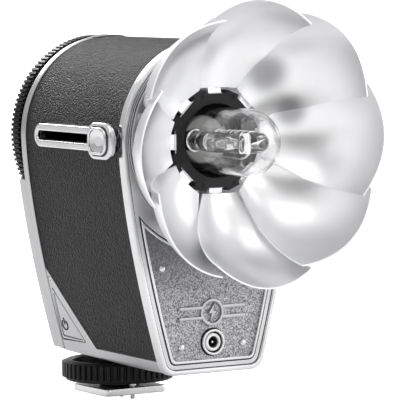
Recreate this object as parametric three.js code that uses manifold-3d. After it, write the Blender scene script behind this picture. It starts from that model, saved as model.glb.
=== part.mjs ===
// Small shoe-mounted flash gun with an eight-petal folding reflector.
// Millimetres. +Z is up, the reflector faces -Y, +X is on the right seen from the front.
// Lengths along Y below are measured from the middle of the case's depth; the finished group is
// shifted at the end so that the foot's seat lies on the origin.
import * as THREE from "three";
import { mergeVertices } from "three/addons/utils/BufferGeometryUtils.js";
import Module from "manifold-3d";

const wasm = await Module();
wasm.setup();

// ---- driving dimensions -------------------------------------------------------------------
const HEAD_R = 26; // radius of the case's round top
const HEAD_Z = 69.4; // height of the round top's centre, and of the lamp axis
const BASE_Z = 9.7; // underside of the case at its front
const BASE_HALF = 14.5; // half width at the underside
const CORNER = 3.2; // rounding of the lower corners
const FRONT_Y = -26.75; // face of the front bezel
const REAR_Y = 26.75; // back of the rear rim
const WALL_FRONT = -23.9; // where the case's wall starts and ends
const WALL_REAR = 23.9;
const UNDER_SLOPE = 0.042; // the underside rises towards the back
const MOUTH_R = 23.8; // clear radius of the round mouth

const SLOT_Z = 70; // slider slot
const SLOT_FROM = -21.9;
const SLOT_TO = 16.7;
const SLOT_HALF = 1.15;
const KNOB_Y = -19.5; // middle of the slider knob, reflector open

const PIVOT_R = 11.5; // petal hinge axes: distance from the lamp axis
const PIVOT_Y = -28.6;
const HUB_FRONT = -29.6;
const HUB_BACK = -26.2;
const PETALS = 8;

const LAMP_R = 8.6; // glass dome
const LAMP_END = -43.7; // where its cylinder turns into the round end

const DIAL_R = 25.9;
const FOOT_WIDTH = 18.6; // accessory-shoe foot
const FOOT_LENGTH = 18.2;
const FOOT_THICK = 1.9;
const FOOT_Y = 21; // middle of the foot
const WHEEL_R = 15.4;
const SEAT_Y = 26.5; // point of the foot's underside that becomes the origin

// ---- finishes ------------------------------------------------------------------------------
function finish(color, roughness, metalness) {
  return new THREE.MeshStandardMaterial({ color, roughness, metalness });
}
const satinSilver = () => finish(0xc9cacc, 0.32, 0.9);
const brightSilver = () => finish(0xdcdddf, 0.18, 1);
const petalSilver = () => finish(0xd6d7d9, 0.28, 1);
const grainSilver = () => finish(0xb4b6b8, 0.5, 0.85);
const blackLeather = () => finish(0x18181a, 0.7, 0);
const blackPlastic = () => finish(0x101012, 0.5, 0);
const steel = () => finish(0xbfc1c4, 0.25, 1);
const white = () => finish(0xe8e6e0, 0.6, 0);

const unit = new THREE.Group();
unit.name = "flash_gun";

function add(name, geometry, material) {
  const mesh = new THREE.Mesh(geometry, material);
  mesh.name = name;
  unit.add(mesh);
  return mesh;
}

// ---- joins and cuts ------------------------------------------------------------------------
function flipped(triangles) {
  const turned = new Uint32Array(triangles);
  for (let i = 0; i < turned.length; i += 3) {
    [turned[i + 1], turned[i + 2]] = [turned[i + 2], turned[i + 1]];
  }
  return turned;
}

function toSolid(geometry) {
  const bare = geometry.clone();
  bare.deleteAttribute("normal");
  bare.deleteAttribute("uv");
  const merged = mergeVertices(bare, 1e-4);
  const vertProperties = merged.attributes.position.array;
  const triVerts = new Uint32Array(merged.index.array);
  const made = new wasm.Manifold(new wasm.Mesh({ numProp: 3, vertProperties, triVerts }));
  if (made.volume() >= 0) return made;
  const turned = flipped(triVerts);
  return new wasm.Manifold(new wasm.Mesh({ numProp: 3, vertProperties, triVerts: turned }));
}

function toGeometry(solid) {
  const mesh = solid.getMesh();
  const geometry = new THREE.BufferGeometry();
  const points = new Float32Array(mesh.numVert * 3);
  for (let i = 0; i < mesh.numVert; i += 1) {
    for (let k = 0; k < 3; k += 1) {
      points[3 * i + k] = mesh.vertProperties[mesh.numProp * i + k];
    }
  }
  geometry.setAttribute("position", new THREE.BufferAttribute(points, 3));
  geometry.setIndex(new THREE.BufferAttribute(new Uint32Array(mesh.triVerts), 1));
  return geometry;
}

function join(...pieces) {
  return toGeometry(pieces.map(toSolid).reduce((a, b) => a.add(b)));
}

function cut(body, ...tools) {
  return toGeometry(tools.map(toSolid).reduce((a, b) => a.subtract(b), toSolid(body)));
}

function common(a, b) {
  return toGeometry(toSolid(a).intersect(toSolid(b)));
}

// ---- drawing helpers -------------------------------------------------------------------------
function shapeOf(points, holes = []) {
  const shape = new THREE.Shape(points.map(([a, b]) => new THREE.Vector2(a, b)));
  for (const hole of holes) {
    shape.holes.push(new THREE.Path(hole.map(([a, b]) => new THREE.Vector2(a, b))));
  }
  return shape;
}

function extruded(shape, depth) {
  return new THREE.ExtrudeGeometry(shape, { depth, bevelEnabled: false, curveSegments: 1 });
}

// A shape drawn in the front view (x, z), filling y from front to back.
function slabY(points, front, back, holes = []) {
  const geometry = extruded(shapeOf(points, holes), back - front);
  return geometry.rotateX(Math.PI / 2).translate(0, back, 0);
}

// A shape drawn in the side view (y, z), filling x from low to high.
function slabX(points, low, high, holes = []) {
  const turn = new THREE.Matrix4().makeBasis(
    new THREE.Vector3(0, 1, 0),
    new THREE.Vector3(0, 0, 1),
    new THREE.Vector3(1, 0, 0),
  );
  return extruded(shapeOf(points, holes), high - low).applyMatrix4(turn).translate(low, 0, 0);
}

// A shape drawn in plan (x, y), filling z from low to high.
function slabZ(points, low, high, holes = []) {
  return extruded(shapeOf(points, holes), high - low).translate(0, 0, low);
}

function arcPoints(cx, cy, radius, from, to, steps) {
  const points = [];
  for (let i = 0; i <= steps; i += 1) {
    const angle = from + ((to - from) * i) / steps;
    points.push([cx + radius * Math.cos(angle), cy + radius * Math.sin(angle)]);
  }
  return points;
}

function circle(cx, cy, radius, steps = 24) {
  return arcPoints(cx, cy, radius, 0, 2 * Math.PI, steps).slice(0, -1);
}

function roundedRect(cx, cy, width, height, radius, steps = 4) {
  const x = width / 2 - radius;
  const y = height / 2 - radius;
  const quarter = Math.PI / 2;
  return [
    ...arcPoints(cx + x, cy + y, radius, 0, quarter, steps),
    ...arcPoints(cx - x, cy + y, radius, quarter, 2 * quarter, steps),
    ...arcPoints(cx - x, cy - y, radius, 2 * quarter, 3 * quarter, steps),
    ...arcPoints(cx + x, cy - y, radius, 3 * quarter, 4 * quarter, steps),
  ];
}

// A profile of (radius, along) points turned about the Y axis, or about the Z axis.
function turnedY(profile, steps, x = 0, z = 0) {
  const points = profile.map(([r, h]) => new THREE.Vector2(r, h));
  return new THREE.LatheGeometry(points, steps).translate(x, 0, z);
}

function turnedZ(profile, steps, x = 0, y = 0) {
  const points = profile.map(([r, h]) => new THREE.Vector2(r, h));
  return new THREE.LatheGeometry(points, steps).rotateX(Math.PI / 2).translate(x, y, 0);
}

function turned(profile, steps, axis, a, b) {
  const made = axis === "z" ? turnedZ(profile, steps, a, b) : turnedY(profile, steps, a, b);
  return toGeometry(toSolid(made));
}

// ---- the case's outline -----------------------------------------------------------------------
function halfWidth(z) {
  const up = (z - BASE_Z) / (HEAD_Z - BASE_Z);
  return HEAD_R - (HEAD_R - BASE_HALF) * Math.max(1 - up, 0) ** 1.5;
}

function flankSlope(z) {
  return (halfWidth(z + 0.05) - halfWidth(z - 0.05)) / 0.1;
}

// Half width at height z of the outline drawn "inset" inside the case's own.
function flankAt(z, inset) {
  let on = z;
  for (let i = 0; i < 8; i += 1) {
    const slope = flankSlope(on);
    on = z - (inset * slope) / Math.hypot(1, slope);
  }
  return halfWidth(on) - inset / Math.hypot(1, flankSlope(on));
}

function lowerFlank(inset, top, steps) {
  const floor = BASE_Z + inset;
  const corner = Math.max(CORNER - 0.6 * inset, 1);
  const edge = flankAt(floor, inset);
  const upX = flankAt(floor + corner, inset);
  const points = [];
  for (let i = 0; i <= 4; i += 1) {
    const t = i / 4;
    const a = (1 - t) ** 2;
    const b = 2 * t * (1 - t);
    const c = t ** 2;
    const x = a * (edge - corner) + b * edge + c * upX;
    points.push([x, floor + c * corner]);
  }
  for (let i = 1; i <= steps; i += 1) {
    const z = floor + corner + ((top - floor - corner) * i) / steps;
    points.push([flankAt(z, inset), z]);
  }
  return points;
}

function mirrored(points) {
  return points.map(([x, z]) => [-x, z]).reverse();
}

function caseOutline(inset) {
  const right = lowerFlank(inset, HEAD_Z, 8);
  const top = arcPoints(0, HEAD_Z, HEAD_R - inset, 0, Math.PI, 30).slice(1, -1);
  return [...right, ...top, ...mirrored(right)];
}

// The part of the outline below a circle about the lamp axis: the badge's place on the front.
function belowMouth(inset, radius) {
  let z = HEAD_Z - 10;
  while (Math.hypot(flankAt(z, inset), z - HEAD_Z) < radius) z -= 0.02;
  const right = lowerFlank(inset, z, 6);
  const [x, top] = right[right.length - 1];
  const from = Math.atan2(top - HEAD_Z, x);
  const arc = arcPoints(0, HEAD_Z, radius, from, -Math.PI - from, 14).slice(1, -1);
  return [...right, ...arc, ...mirrored(right)];
}

function underside(y) {
  return BASE_Z + UNDER_SLOPE * (y - FRONT_Y);
}

const belowCase = slabX(
  [
    [-40, -30],
    [40, -30],
    [40, underside(40)],
    [-40, underside(-40)],
  ],
  -40,
  40,
);

// ---- case ---------------------------------------------------------------------------------------
// The metal band: the strip along the bottom and the corner behind the diagonal edge of the covering.
function bandRegion(rise) {
  return slabX(
    [
      [-30, 0],
      [40, 0],
      [40, 53 + rise],
      [24.3, 34.7 + rise],
      [6.4, 13.8 + rise],
      [-30, 13.2 + rise],
    ],
    -40,
    40,
  );
}

// The power button lies on the slanted side of that corner.
const BUTTON_MID = [20.2, 19.6];
const buttonTilt = Math.atan(flankSlope(BUTTON_MID[1]));

function onFlank(geometry, inset) {
  // Local x points into the case from its left side, local y along +Y, local z up the flank.
  const [y, z] = BUTTON_MID;
  const frame = new THREE.Group();
  frame.position.set(-flankAt(z, inset), y, z);
  frame.rotation.y = -buttonTilt;
  frame.updateMatrix();
  return geometry.applyMatrix4(frame.matrix);
}

function triangle(grow) {
  const corners = [
    [2.4, 9.4],
    [3.3, -4.6],
    [-8.7, -4.6],
  ];
  const mid = [0, -1.2];
  return corners.map(([y, z]) => {
    const length = Math.hypot(y - mid[0], z - mid[1]);
    const k = 1 + (grow * 1.9) / length;
    return [mid[0] + (y - mid[0]) * k, mid[1] + (z - mid[1]) * k];
  });
}

function rounded(points, radius) {
  const result = [];
  points.forEach((point, i) => {
    const before = points[(i + points.length - 1) % points.length];
    const after = points[(i + 1) % points.length];
    const step = (to) => {
      const d = Math.hypot(to[0] - point[0], to[1] - point[1]);
      return [
        point[0] + ((to[0] - point[0]) * radius) / d,
        point[1] + ((to[1] - point[1]) * radius) / d,
      ];
    };
    const a = step(before);
    const b = step(after);
    result.push(a);
    result.push([(a[0] + b[0] + 2 * point[0]) / 4, (a[1] + b[1] + 2 * point[1]) / 4]);
    result.push(b);
  });
  return result;
}

const wall = slabY(caseOutline(1.1), WALL_FRONT, WALL_REAR, [caseOutline(2)]);
const band = common(
  slabY(caseOutline(0.25), WALL_FRONT, WALL_REAR, [caseOutline(1.6)]),
  bandRegion(0),
);
const floor = common(
  slabY(caseOutline(0.6), WALL_FRONT, WALL_REAR),
  slabX(
    [
      [-30, underside(-30)],
      [30, underside(30)],
      [30, underside(30) + 1.6],
      [-30, underside(-30) + 1.6],
    ],
    -30,
    30,
  ),
);
const slotOpening = slabX(
  roundedRect((SLOT_FROM + SLOT_TO) / 2, SLOT_Z, SLOT_TO - SLOT_FROM, 2 * SLOT_HALF, 1, 2),
  -35,
  -15,
);
const buttonOpening = onFlank(slabX(rounded(triangle(0.3), 0.8), -4, 4), 0.25);
const ledOpening = slabX(circle(22.9, 31.4, 0.65, 8), -30, -10);
add(
  "body_shell",
  cut(join(wall, band, floor), belowCase, slotOpening, buttonOpening, ledOpening),
  satinSilver(),
);

const trimPlace = slabX(roundedRect(-2.9, SLOT_Z, 43.2, 6.8, 3.2, 4), -35, -10);
add(
  "leatherette_wrap",
  cut(
    slabY(caseOutline(0.3), WALL_FRONT + 0.1, WALL_REAR - 0.1, [caseOutline(1)]),
    bandRegion(0.35),
    trimPlace,
  ),
  blackLeather(),
);
add(
  "slot_trim",
  slabX(roundedRect(-2.5, SLOT_Z, 41.8, 6.2, 3, 4), -26.5, -25.05, [
    roundedRect((SLOT_FROM + SLOT_TO) / 2, SLOT_Z, SLOT_TO - SLOT_FROM, 2 * SLOT_HALF, 1, 2),
  ]),
  brightSilver(),
);

// ---- front ----------------------------------------------------------------------------------------
add("front_bezel", slabY(caseOutline(0), FRONT_Y, -24, [caseOutline(1.35)]), brightSilver());
add(
  "front_plate",
  slabY(caseOutline(1.5), -26.3, -24.5, [
    circle(0, HEAD_Z, MOUTH_R + 0.3, 56),
    belowMouth(2.6, 28.1),
  ]),
  brightSilver(),
);
add(
  "mouth_ring",
  slabY(circle(0, HEAD_Z, MOUTH_R + 0.25, 56), -26.6, -24.3, [circle(0, HEAD_Z, MOUTH_R, 56)]),
  brightSilver(),
);

const socketX = 0.2;
const socketZ = 17.6;
add(
  "badge_panel",
  join(
    slabY(belowMouth(2.9, 28.4), -26, -24.7, [circle(socketX, socketZ, 3.6, 20)]),
    slabY(belowMouth(2.9, 28.4), -26.6, -25.9, [belowMouth(3.6, 29.1)]),
  ),
  grainSilver(),
);

// A plain ornament: a lightning stroke in a ring, with two stripes to each side.
function stripe(x0, x1, z, half) {
  return [
    [x0, z - half],
    [x1, z - half],
    [x1, z + half],
    [x0, z + half],
  ];
}
const ornamentZ = 25.3;
const stroke = [
  [0.9, 3],
  [-1.5, -0.35],
  [-0.2, -0.35],
  [-0.9, -3],
  [1.5, 0.35],
  [0.2, 0.35],
];
add(
  "badge_ornament",
  join(
    slabY(circle(0, ornamentZ, 3.5, 24), -26.5, -26, [circle(0, ornamentZ, 2.7, 24)]),
    slabY(
      stroke.map(([x, z]) => [x, z + ornamentZ]),
      -26.5,
      -26,
    ),
    ...[-1, 1].flatMap((side) =>
      [1.3, -1.3].map((dz) => {
        const ends = side < 0 ? [-10, -2.9] : [2.9, 10];
        return slabY(stripe(ends[0], ends[1], ornamentZ + dz, 0.5), -26.5, -26);
      }),
    ),
  ),
  brightSilver(),
);

const rivetProfile = [
  [0, -26.75],
  [0.55, -26.62],
  [0.95, -26.2],
  [0.95, -26],
  [0, -26],
];
const rivetPlaces = [
  ["badge_rivet_upper_left", -14.7, 37.3],
  ["badge_rivet_upper_right", 14.7, 37.3],
  ["badge_rivet_lower_left", -9.2, 16.8],
  ["badge_rivet_lower_right", 9.3, 16.8],
];
for (const [name, x, z] of rivetPlaces) {
  add(name, turned(rivetProfile, 10, "y", x, z), brightSilver());
}

add(
  "sync_socket_collar",
  slabY(circle(socketX, socketZ, 3.35, 24), -26.8, -24.7, [circle(socketX, socketZ, 2.8, 24)]),
  brightSilver(),
);
add(
  "sync_socket_barrel",
  turned(
    [
      [0, -21.8],
      [2.45, -21.8],
      [2.45, -26.6],
      [1.5, -26.6],
      [1.5, -23],
      [0, -23],
    ],
    20,
    "y",
    socketX,
    socketZ,
  ),
  white(),
);
add(
  "sync_socket_pin",
  slabY(circle(socketX, socketZ, 0.4, 8), -26.1, -23),
  brightSilver(),
);

// ---- back -----------------------------------------------------------------------------------------
add(
  "rear_rim",
  cut(slabY(caseOutline(0), 24.05, REAR_Y, [caseOutline(1.6)]), belowCase),
  brightSilver(),
);
const belowPlate = slabX(
  [
    [-40, -30],
    [40, -30],
    [40, underside(40) + 1.8],
    [-40, underside(-40) + 1.8],
  ],
  -40,
  40,
);
add("rear_plate", cut(slabY(caseOutline(1.7), 24.6, 26.4), belowPlate), blackPlastic());

const indexTab = [
  ...arcPoints(0, HEAD_Z, HEAD_R + 0.06, Math.PI * 0.44, Math.PI * 0.56, 6),
  ...arcPoints(0, HEAD_Z + 9.65, 16.7, Math.PI * 0.58, Math.PI * 0.42, 6),
];
add("index_tab", slabY(indexTab, 22.6, 26.6), brightSilver());

const coverLow = lowerFlank(0.4, 57.6, 8);
const coverAngle = Math.asin((57.6 - HEAD_Z) / 26.2);
const coverOutline = [
  ...coverLow,
  ...arcPoints(0, HEAD_Z, 26.2, coverAngle, -Math.PI - coverAngle, 22),
  ...mirrored(coverLow),
];
const portZ = 19.5;
const testZ = 33;
add(
  "rear_cover",
  cut(
    slabY(coverOutline, 26.95, 30.6, [
      circle(0, testZ, 3.2, 20),
      circle(8.5, testZ, 1.5, 12),
      roundedRect(0, portZ, 10, 4.4, 2.1, 4),
    ]),
    belowCase,
  ),
  satinSilver(),
);
add(
  "charge_port",
  slabY(roundedRect(0, portZ, 9.4, 3.8, 1.8, 4), 26.8, 30.4, [
    roundedRect(0, portZ, 8.4, 2.8, 1.3, 4),
  ]),
  steel(),
);
add(
  "ready_lamp",
  turned(
    [
      [0, 26.8],
      [1.25, 26.8],
      [1.25, 30.6],
      [0.7, 31],
      [0, 31.1],
    ],
    12,
    "y",
    8.5,
    testZ,
  ),
  finish(0xd2761e, 0.3, 0),
);
for (const [name, x] of [
  ["cover_screw_left", -11.6],
  ["cover_screw_right", 11.6],
]) {
  add(
    name,
    cut(
      turned(
        [
          [0, 30.6],
          [1.5, 30.6],
          [1.5, 31],
          [1, 31.35],
          [0, 31.35],
        ],
        14,
        "y",
        x,
        26,
      ),
      slabY(stripe(x - 0.9, x + 0.9, 26, 0.18), 31, 32),
      slabY(stripe(x - 0.18, x + 0.18, 26, 0.9), 31, 32),
    ),
    steel(),
  );
}
add(
  "test_button",
  turned(
    [
      [0, 27.9],
      [2.85, 27.9],
      [2.85, 31.2],
      [2.5, 31.6],
      [0, 31.6],
    ],
    20,
    "y",
    0,
    testZ,
  ),
  finish(0x9a2420, 0.35, 0),
);

// Exposure dial: a toothed ring that turns round a fixed scale disc.
const DIAL_TEETH = 80;
const dialEdge = [];
for (let i = 0; i < 2 * DIAL_TEETH; i += 1) {
  const angle = (i * Math.PI) / DIAL_TEETH;
  const radius = i % 2 === 0 ? DIAL_R : DIAL_R - 0.55;
  dialEdge.push([radius * Math.cos(angle), HEAD_Z + radius * Math.sin(angle)]);
}
add(
  "dial_ring",
  join(
    slabY(dialEdge, 28.2, 32, [circle(0, HEAD_Z, 20.6, 40)]),
    slabY(circle(0, HEAD_Z, 24.9, 40), 27, 28.4, [circle(0, HEAD_Z, 3, 20)]),
  ),
  blackPlastic(),
);
const ticks = [];
for (let i = 0; i < 12; i += 1) {
  const angle = Math.PI / 2 + (i * Math.PI) / 6;
  const inner = i % 3 === 0 ? 14.6 : 16.4;
  const along = [Math.cos(angle), Math.sin(angle)];
  const across = [-along[1] * 0.3, along[0] * 0.3];
  const corner = (r, side) => [
    along[0] * r + side * across[0],
    HEAD_Z + along[1] * r + side * across[1],
  ];
  ticks.push(slabY([corner(inner, -1), corner(18.6, -1), corner(18.6, 1), corner(inner, 1)], 29.4, 29.9));
}
add(
  "dial_face",
  join(
    slabY(circle(0, HEAD_Z, 20.2, 40), 28.7, 29.6),
    slabY(circle(0, HEAD_Z, 2.7, 16), 26.4, 28.9),
    ...ticks,
  ),
  satinSilver(),
);
add(
  "dial_screw",
  cut(
    turned(
      [
        [0, 29.6],
        [3.2, 29.6],
        [3.2, 30.3],
        [2.5, 30.9],
        [0, 30.9],
      ],
      18,
      "y",
      0,
      HEAD_Z,
    ),
    slabY(stripe(-2.2, 2.2, HEAD_Z, 0.35), 30.4, 32),
  ),
  brightSilver(),
);

// ---- left side controls ---------------------------------------------------------------------------
const buttonPlate = slabX(rounded(triangle(0), 0.7), -0.1, 2);
const iconRing = slabX(circle(0.3, -0.6, 1.5, 16), -0.35, 0.2, [circle(0.3, -0.6, 1.05, 16)]);
const iconBar = slabX(
  [
    [0.08, -0.5],
    [0.52, -0.5],
    [0.52, 1.5],
    [0.08, 1.5],
  ],
  -0.35,
  0.2,
);
add("power_button", onFlank(join(buttonPlate, iconRing, iconBar), 0.35), brightSilver());
add(
  "status_led",
  slabX(circle(22.9, 31.4, 0.42, 8), -flankAt(31.4, 0.2), -flankAt(31.4, 2)),
  finish(0xe8ffe8, 0.2, 0),
);

// ---- inside ---------------------------------------------------------------------------------------
add("battery_cell", slabY(circle(-7, 22.2, 6.8, 20), -16, 22), finish(0x3a6ea5, 0.45, 0.1));
add("flash_capacitor", slabY(circle(9.2, 24.4, 5, 18), -17, 15), finish(0x1d2430, 0.4, 0));
add(
  "circuit_board",
  slabX(
    [
      [-19, 14.6],
      [22, 14.6],
      [22, 36.5],
      [-19, 36.5],
    ],
    0.6,
    1.8,
  ),
  finish(0x1f5b35, 0.5, 0),
);
for (const [name, x] of [
  ["guide_rod_left", -9],
  ["guide_rod_right", 9],
]) {
  add(name, slabY(circle(x, 41, 1.5, 12), -24.5, 24.5), steel());
}

// ---- foot -----------------------------------------------------------------------------------------
const contactY = 20;
const pinY = 14.2;
add(
  "shoe_foot",
  slabZ(roundedRect(0, FOOT_Y, FOOT_WIDTH, FOOT_LENGTH, 1.3, 3), 0, FOOT_THICK, [
    circle(0, contactY, 2.6, 16),
    circle(0, pinY, 0.9, 10),
  ]),
  steel(),
);
add(
  "shoe_stem",
  cut(
    join(
      slabZ(circle(0, FOOT_Y, 5.4, 24), FOOT_THICK, 9.6),
      slabZ(circle(0, FOOT_Y, 8, 28), 9.1, 14),
    ),
    slabX(
      [
        [-40, underside(-40) - 0.05],
        [60, underside(60) - 0.05],
        [60, 40],
        [-40, 40],
      ],
      -40,
      40,
    ),
    slabZ(circle(0, contactY, 1.15, 12), 0, 7.4),
  ),
  blackPlastic(),
);
add(
  "contact_insulator",
  slabZ(circle(0, contactY, 2.5, 16), 0, FOOT_THICK - 0.1, [circle(0, contactY, 0.95, 12)]),
  blackPlastic(),
);
add(
  "contact_pin",
  turned(
    [
      [0, -1.5],
      [0.45, -1.35],
      [0.72, -0.9],
      [0.72, 5],
      [0, 5],
    ],
    12,
    "z",
    0,
    contactY,
  ),
  steel(),
);
add(
  "locking_pin",
  turned(
    [
      [0, -1.4],
      [0.45, -1.4],
      [0.56, -1.25],
      [0.56, 2.1],
      [1.05, 2.1],
      [1.05, 3.4],
      [0, 3.4],
    ],
    10,
    "z",
    0,
    pinY,
  ),
  steel(),
);

const WHEEL_RIBS = 52;
const wheelEdge = [];
for (let i = 0; i < WHEEL_RIBS; i += 1) {
  const middle = (i * 2 * Math.PI) / WHEEL_RIBS;
  for (const [turn, radius] of [
    [-0.026, WHEEL_R],
    [0.026, WHEEL_R],
    [0.06, WHEEL_R - 0.6],
  ]) {
    const angle = middle + turn;
    wheelEdge.push([radius * Math.cos(angle), FOOT_Y + radius * Math.sin(angle)]);
  }
}
add(
  "lock_wheel",
  cut(
    join(
      slabZ(wheelEdge, 4.4, 8.4),
      slabZ(circle(0, FOOT_Y, 14.5, 40), 3.5, 8.9),
    ),
    slabZ(circle(0, FOOT_Y, 12.6, 36), 7.6, 12),
    slabZ(circle(0, FOOT_Y, 12.2, 36), 0, 5.4),
    slabZ(circle(0, FOOT_Y, 5.8, 24), 0, 12),
  ),
  blackPlastic(),
);

// ---- lamp carriage --------------------------------------------------------------------------------
const armEnd = -22.4;
add(
  "carriage_block",
  cut(
    join(
      slabY(circle(0, HEAD_Z, 10.2, 28), -21, -9.6),
      slabY(roundedRect(0, 50.5, 25, 27, 2, 2), -13.6, -9.6),
      slabX(
        [
          [-20.9, SLOT_Z - 2.4],
          [-17.6, SLOT_Z - 2.4],
          [-17.6, SLOT_Z + 2.4],
          [-20.9, SLOT_Z + 2.4],
        ],
        armEnd,
        -8,
      ),
    ),
    slabY(circle(-9, 41, 1.8, 12), -20, 0),
    slabY(circle(9, 41, 1.8, 12), -20, 0),
    slabY(circle(0, HEAD_Z, 5, 20), -17, -5),
  ),
  blackPlastic(),
);

const knobPad = slabX(roundedRect(KNOB_Y, 69.9, 10.6, 9.4, 2.6, 4), -28.7, -26.85);
const knobRim = slabX(roundedRect(KNOB_Y, 69.9, 8, 7, 2, 4), -29.4, -28.5, [
  roundedRect(KNOB_Y, 69.9, 6.4, 5.4, 1.4, 4),
]);
const knobNeck = slabX(
  [
    [-21.6, SLOT_Z - 0.8],
    [-17.4, SLOT_Z - 0.8],
    [-17.4, SLOT_Z + 0.8],
    [-21.6, SLOT_Z + 0.8],
  ],
  -27.2,
  armEnd - 0.1,
);
add("slider_knob", join(knobPad, knobRim, knobNeck), brightSilver());

const turnPerPetal = (2 * Math.PI) / PETALS;

function around(x, y, z, angle) {
  // A point at tangent x, radius y, axial z of the petal standing at this angle.
  return [
    -Math.sin(angle) * x + Math.cos(angle) * y,
    z,
    HEAD_Z + Math.cos(angle) * x + Math.sin(angle) * y,
  ];
}

const hubEdge = [];
for (let i = 0; i < PETALS; i += 1) {
  const corner = turnPerPetal * (i + 0.5);
  const flat = 10.2;
  const at = (r, t) => [
    Math.cos(corner) * r - Math.sin(corner) * t,
    HEAD_Z + Math.sin(corner) * r + Math.cos(corner) * t,
  ];
  // Where the tooth's sides leave the flats on both sides of the corner.
  const root = (flat - 1.85 * Math.sin(turnPerPetal / 2)) / Math.cos(turnPerPetal / 2);
  hubEdge.push(at(root, -1.85));
  hubEdge.push(at(13.2, -1.85));
  hubEdge.push(at(13.2, 1.85));
  hubEdge.push(at(root, 1.85));
}

function wireLoop(radius, wire, sides) {
  const flats = [];
  for (let i = 0; i < PETALS; i += 1) {
    const angle = turnPerPetal * (i + 0.5);
    const reach = radius / Math.cos(turnPerPetal / 2);
    flats.push([reach * Math.cos(angle), reach * Math.sin(angle)]);
  }
  const positions = [];
  const index = [];
  flats.forEach(([x, z]) => {
    const length = Math.hypot(x, z);
    for (let j = 0; j < sides; j += 1) {
      const a = (2 * Math.PI * (j + 0.5)) / sides;
      const out = (wire * Math.cos(a)) / Math.cos(turnPerPetal / 2);
      const k = (length + out) / length;
      positions.push(x * k, PIVOT_Y + wire * Math.sin(a), HEAD_Z + z * k);
    }
  });
  for (let i = 0; i < PETALS; i += 1) {
    for (let j = 0; j < sides; j += 1) {
      const a = i * sides + j;
      const b = i * sides + ((j + 1) % sides);
      const c = ((i + 1) % PETALS) * sides + ((j + 1) % sides);
      const d = ((i + 1) % PETALS) * sides + j;
      index.push(a, b, c, a, c, d);
    }
  }
  const loop = new THREE.BufferGeometry();
  loop.setAttribute("position", new THREE.BufferAttribute(new Float32Array(positions), 3));
  loop.setIndex(index);
  return toGeometry(toSolid(loop));
}

add(
  "hub_ring",
  cut(
    slabY(hubEdge, HUB_FRONT, HUB_BACK, [circle(0, HEAD_Z, 9.5, 40)]),
    wireLoop(PIVOT_R, 0.7, 6),
  ),
  blackPlastic(),
);
add("hinge_wire", wireLoop(PIVOT_R, 0.38, 6), steel());
add(
  "lamp_cup",
  turned(
    [
      [0, -21],
      [10.2, -21],
      [10.2, HUB_BACK],
      [9.4, HUB_BACK],
      [9.4, -22.2],
      [0, -22.2],
    ],
    32,
    "y",
    0,
    HEAD_Z,
  ),
  blackPlastic(),
);
// A dished disc closes the mouth behind the open petals and moves back with them.
add(
  "carriage_face",
  turned(
    [
      [10.4, -25.2],
      [10.4, -25.9],
      [17, -25.6],
      [22.6, -26.1],
      [23.3, -25.8],
      [23.3, -24.9],
      [10.4, -25.2],
    ],
    48,
    "y",
    0,
    HEAD_Z,
  ),
  brightSilver(),
);
add(
  "lamp_base",
  slabY(circle(0, HEAD_Z, 7.5, 24), -24.4, -22.2),
  white(),
);
const domeOuter = arcPoints(0, LAMP_END, LAMP_R, 0, -Math.PI / 2, 6);
const domeInner = arcPoints(0, LAMP_END, LAMP_R - 0.8, -Math.PI / 2, 0, 6);
domeOuter[6][0] = 0;
domeInner[0][0] = 0;
add(
  "glass_dome",
  turned(
    [...domeInner, [LAMP_R - 0.8, -22.3], [LAMP_R, -22.3], ...domeOuter],
    24,
    "y",
    0,
    HEAD_Z,
  ),
  finish(0xffffff, 0.05, 0),
);

// U-shaped discharge tube on the base, its bend at the front.
const legX = 3.9;
const bendY = -43;
const tubePath = new THREE.CurvePath();
tubePath.add(
  new THREE.LineCurve3(
    new THREE.Vector3(-legX, -24.5, HEAD_Z),
    new THREE.Vector3(-legX, bendY, HEAD_Z),
  ),
);
class Bend extends THREE.Curve {
  getPoint(t, target = new THREE.Vector3()) {
    const angle = Math.PI * t;
    return target.set(-legX * Math.cos(angle), bendY - legX * Math.sin(angle), HEAD_Z);
  }
}
const bend = new Bend();
tubePath.add(bend);
tubePath.add(
  new THREE.LineCurve3(
    new THREE.Vector3(legX, bendY, HEAD_Z),
    new THREE.Vector3(legX, -24.5, HEAD_Z),
  ),
);
add(
  "flash_tube",
  toGeometry(
    toSolid(
      new THREE.ExtrudeGeometry(shapeOf(circle(0, 0, 1.9, 10)), {
        steps: 26,
        bevelEnabled: false,
        extrudePath: tubePath,
      }),
    ),
  ),
  finish(0xf4f4f0, 0.1, 0),
);
const wirePath = new THREE.CatmullRomCurve3([
  new THREE.Vector3(0, -24.5, 65.2),
  new THREE.Vector3(0, -34, 65.2),
  new THREE.Vector3(0, -42, 65.4),
  new THREE.Vector3(0, -45, 67),
]);
add(
  "trigger_wire",
  toGeometry(
    toSolid(
      new THREE.ExtrudeGeometry(shapeOf(circle(0, 0, 0.3, 6)), {
        steps: 8,
        bevelEnabled: false,
        extrudePath: wirePath,
      }),
    ),
  ),
  steel(),
);

// ---- petals ---------------------------------------------------------------------------------------
const PETAL = {
  thick: 0.5,
  rootR: 13.6,
  rootD: 0.4,
  midR: 27,
  midD: 8.7,
  tipR: 36,
  tipD: 23.6,
  overlap: 1.6, // each side beyond an eighth of the circle
  tipTilt: Math.tan((5.5 * Math.PI) / 180), // one long edge forward, the other back
  rootTilt: Math.tan((8.2 * Math.PI) / 180),
  scoop: 1.7,
  rows: 6,
  columns: 6,
};

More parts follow.
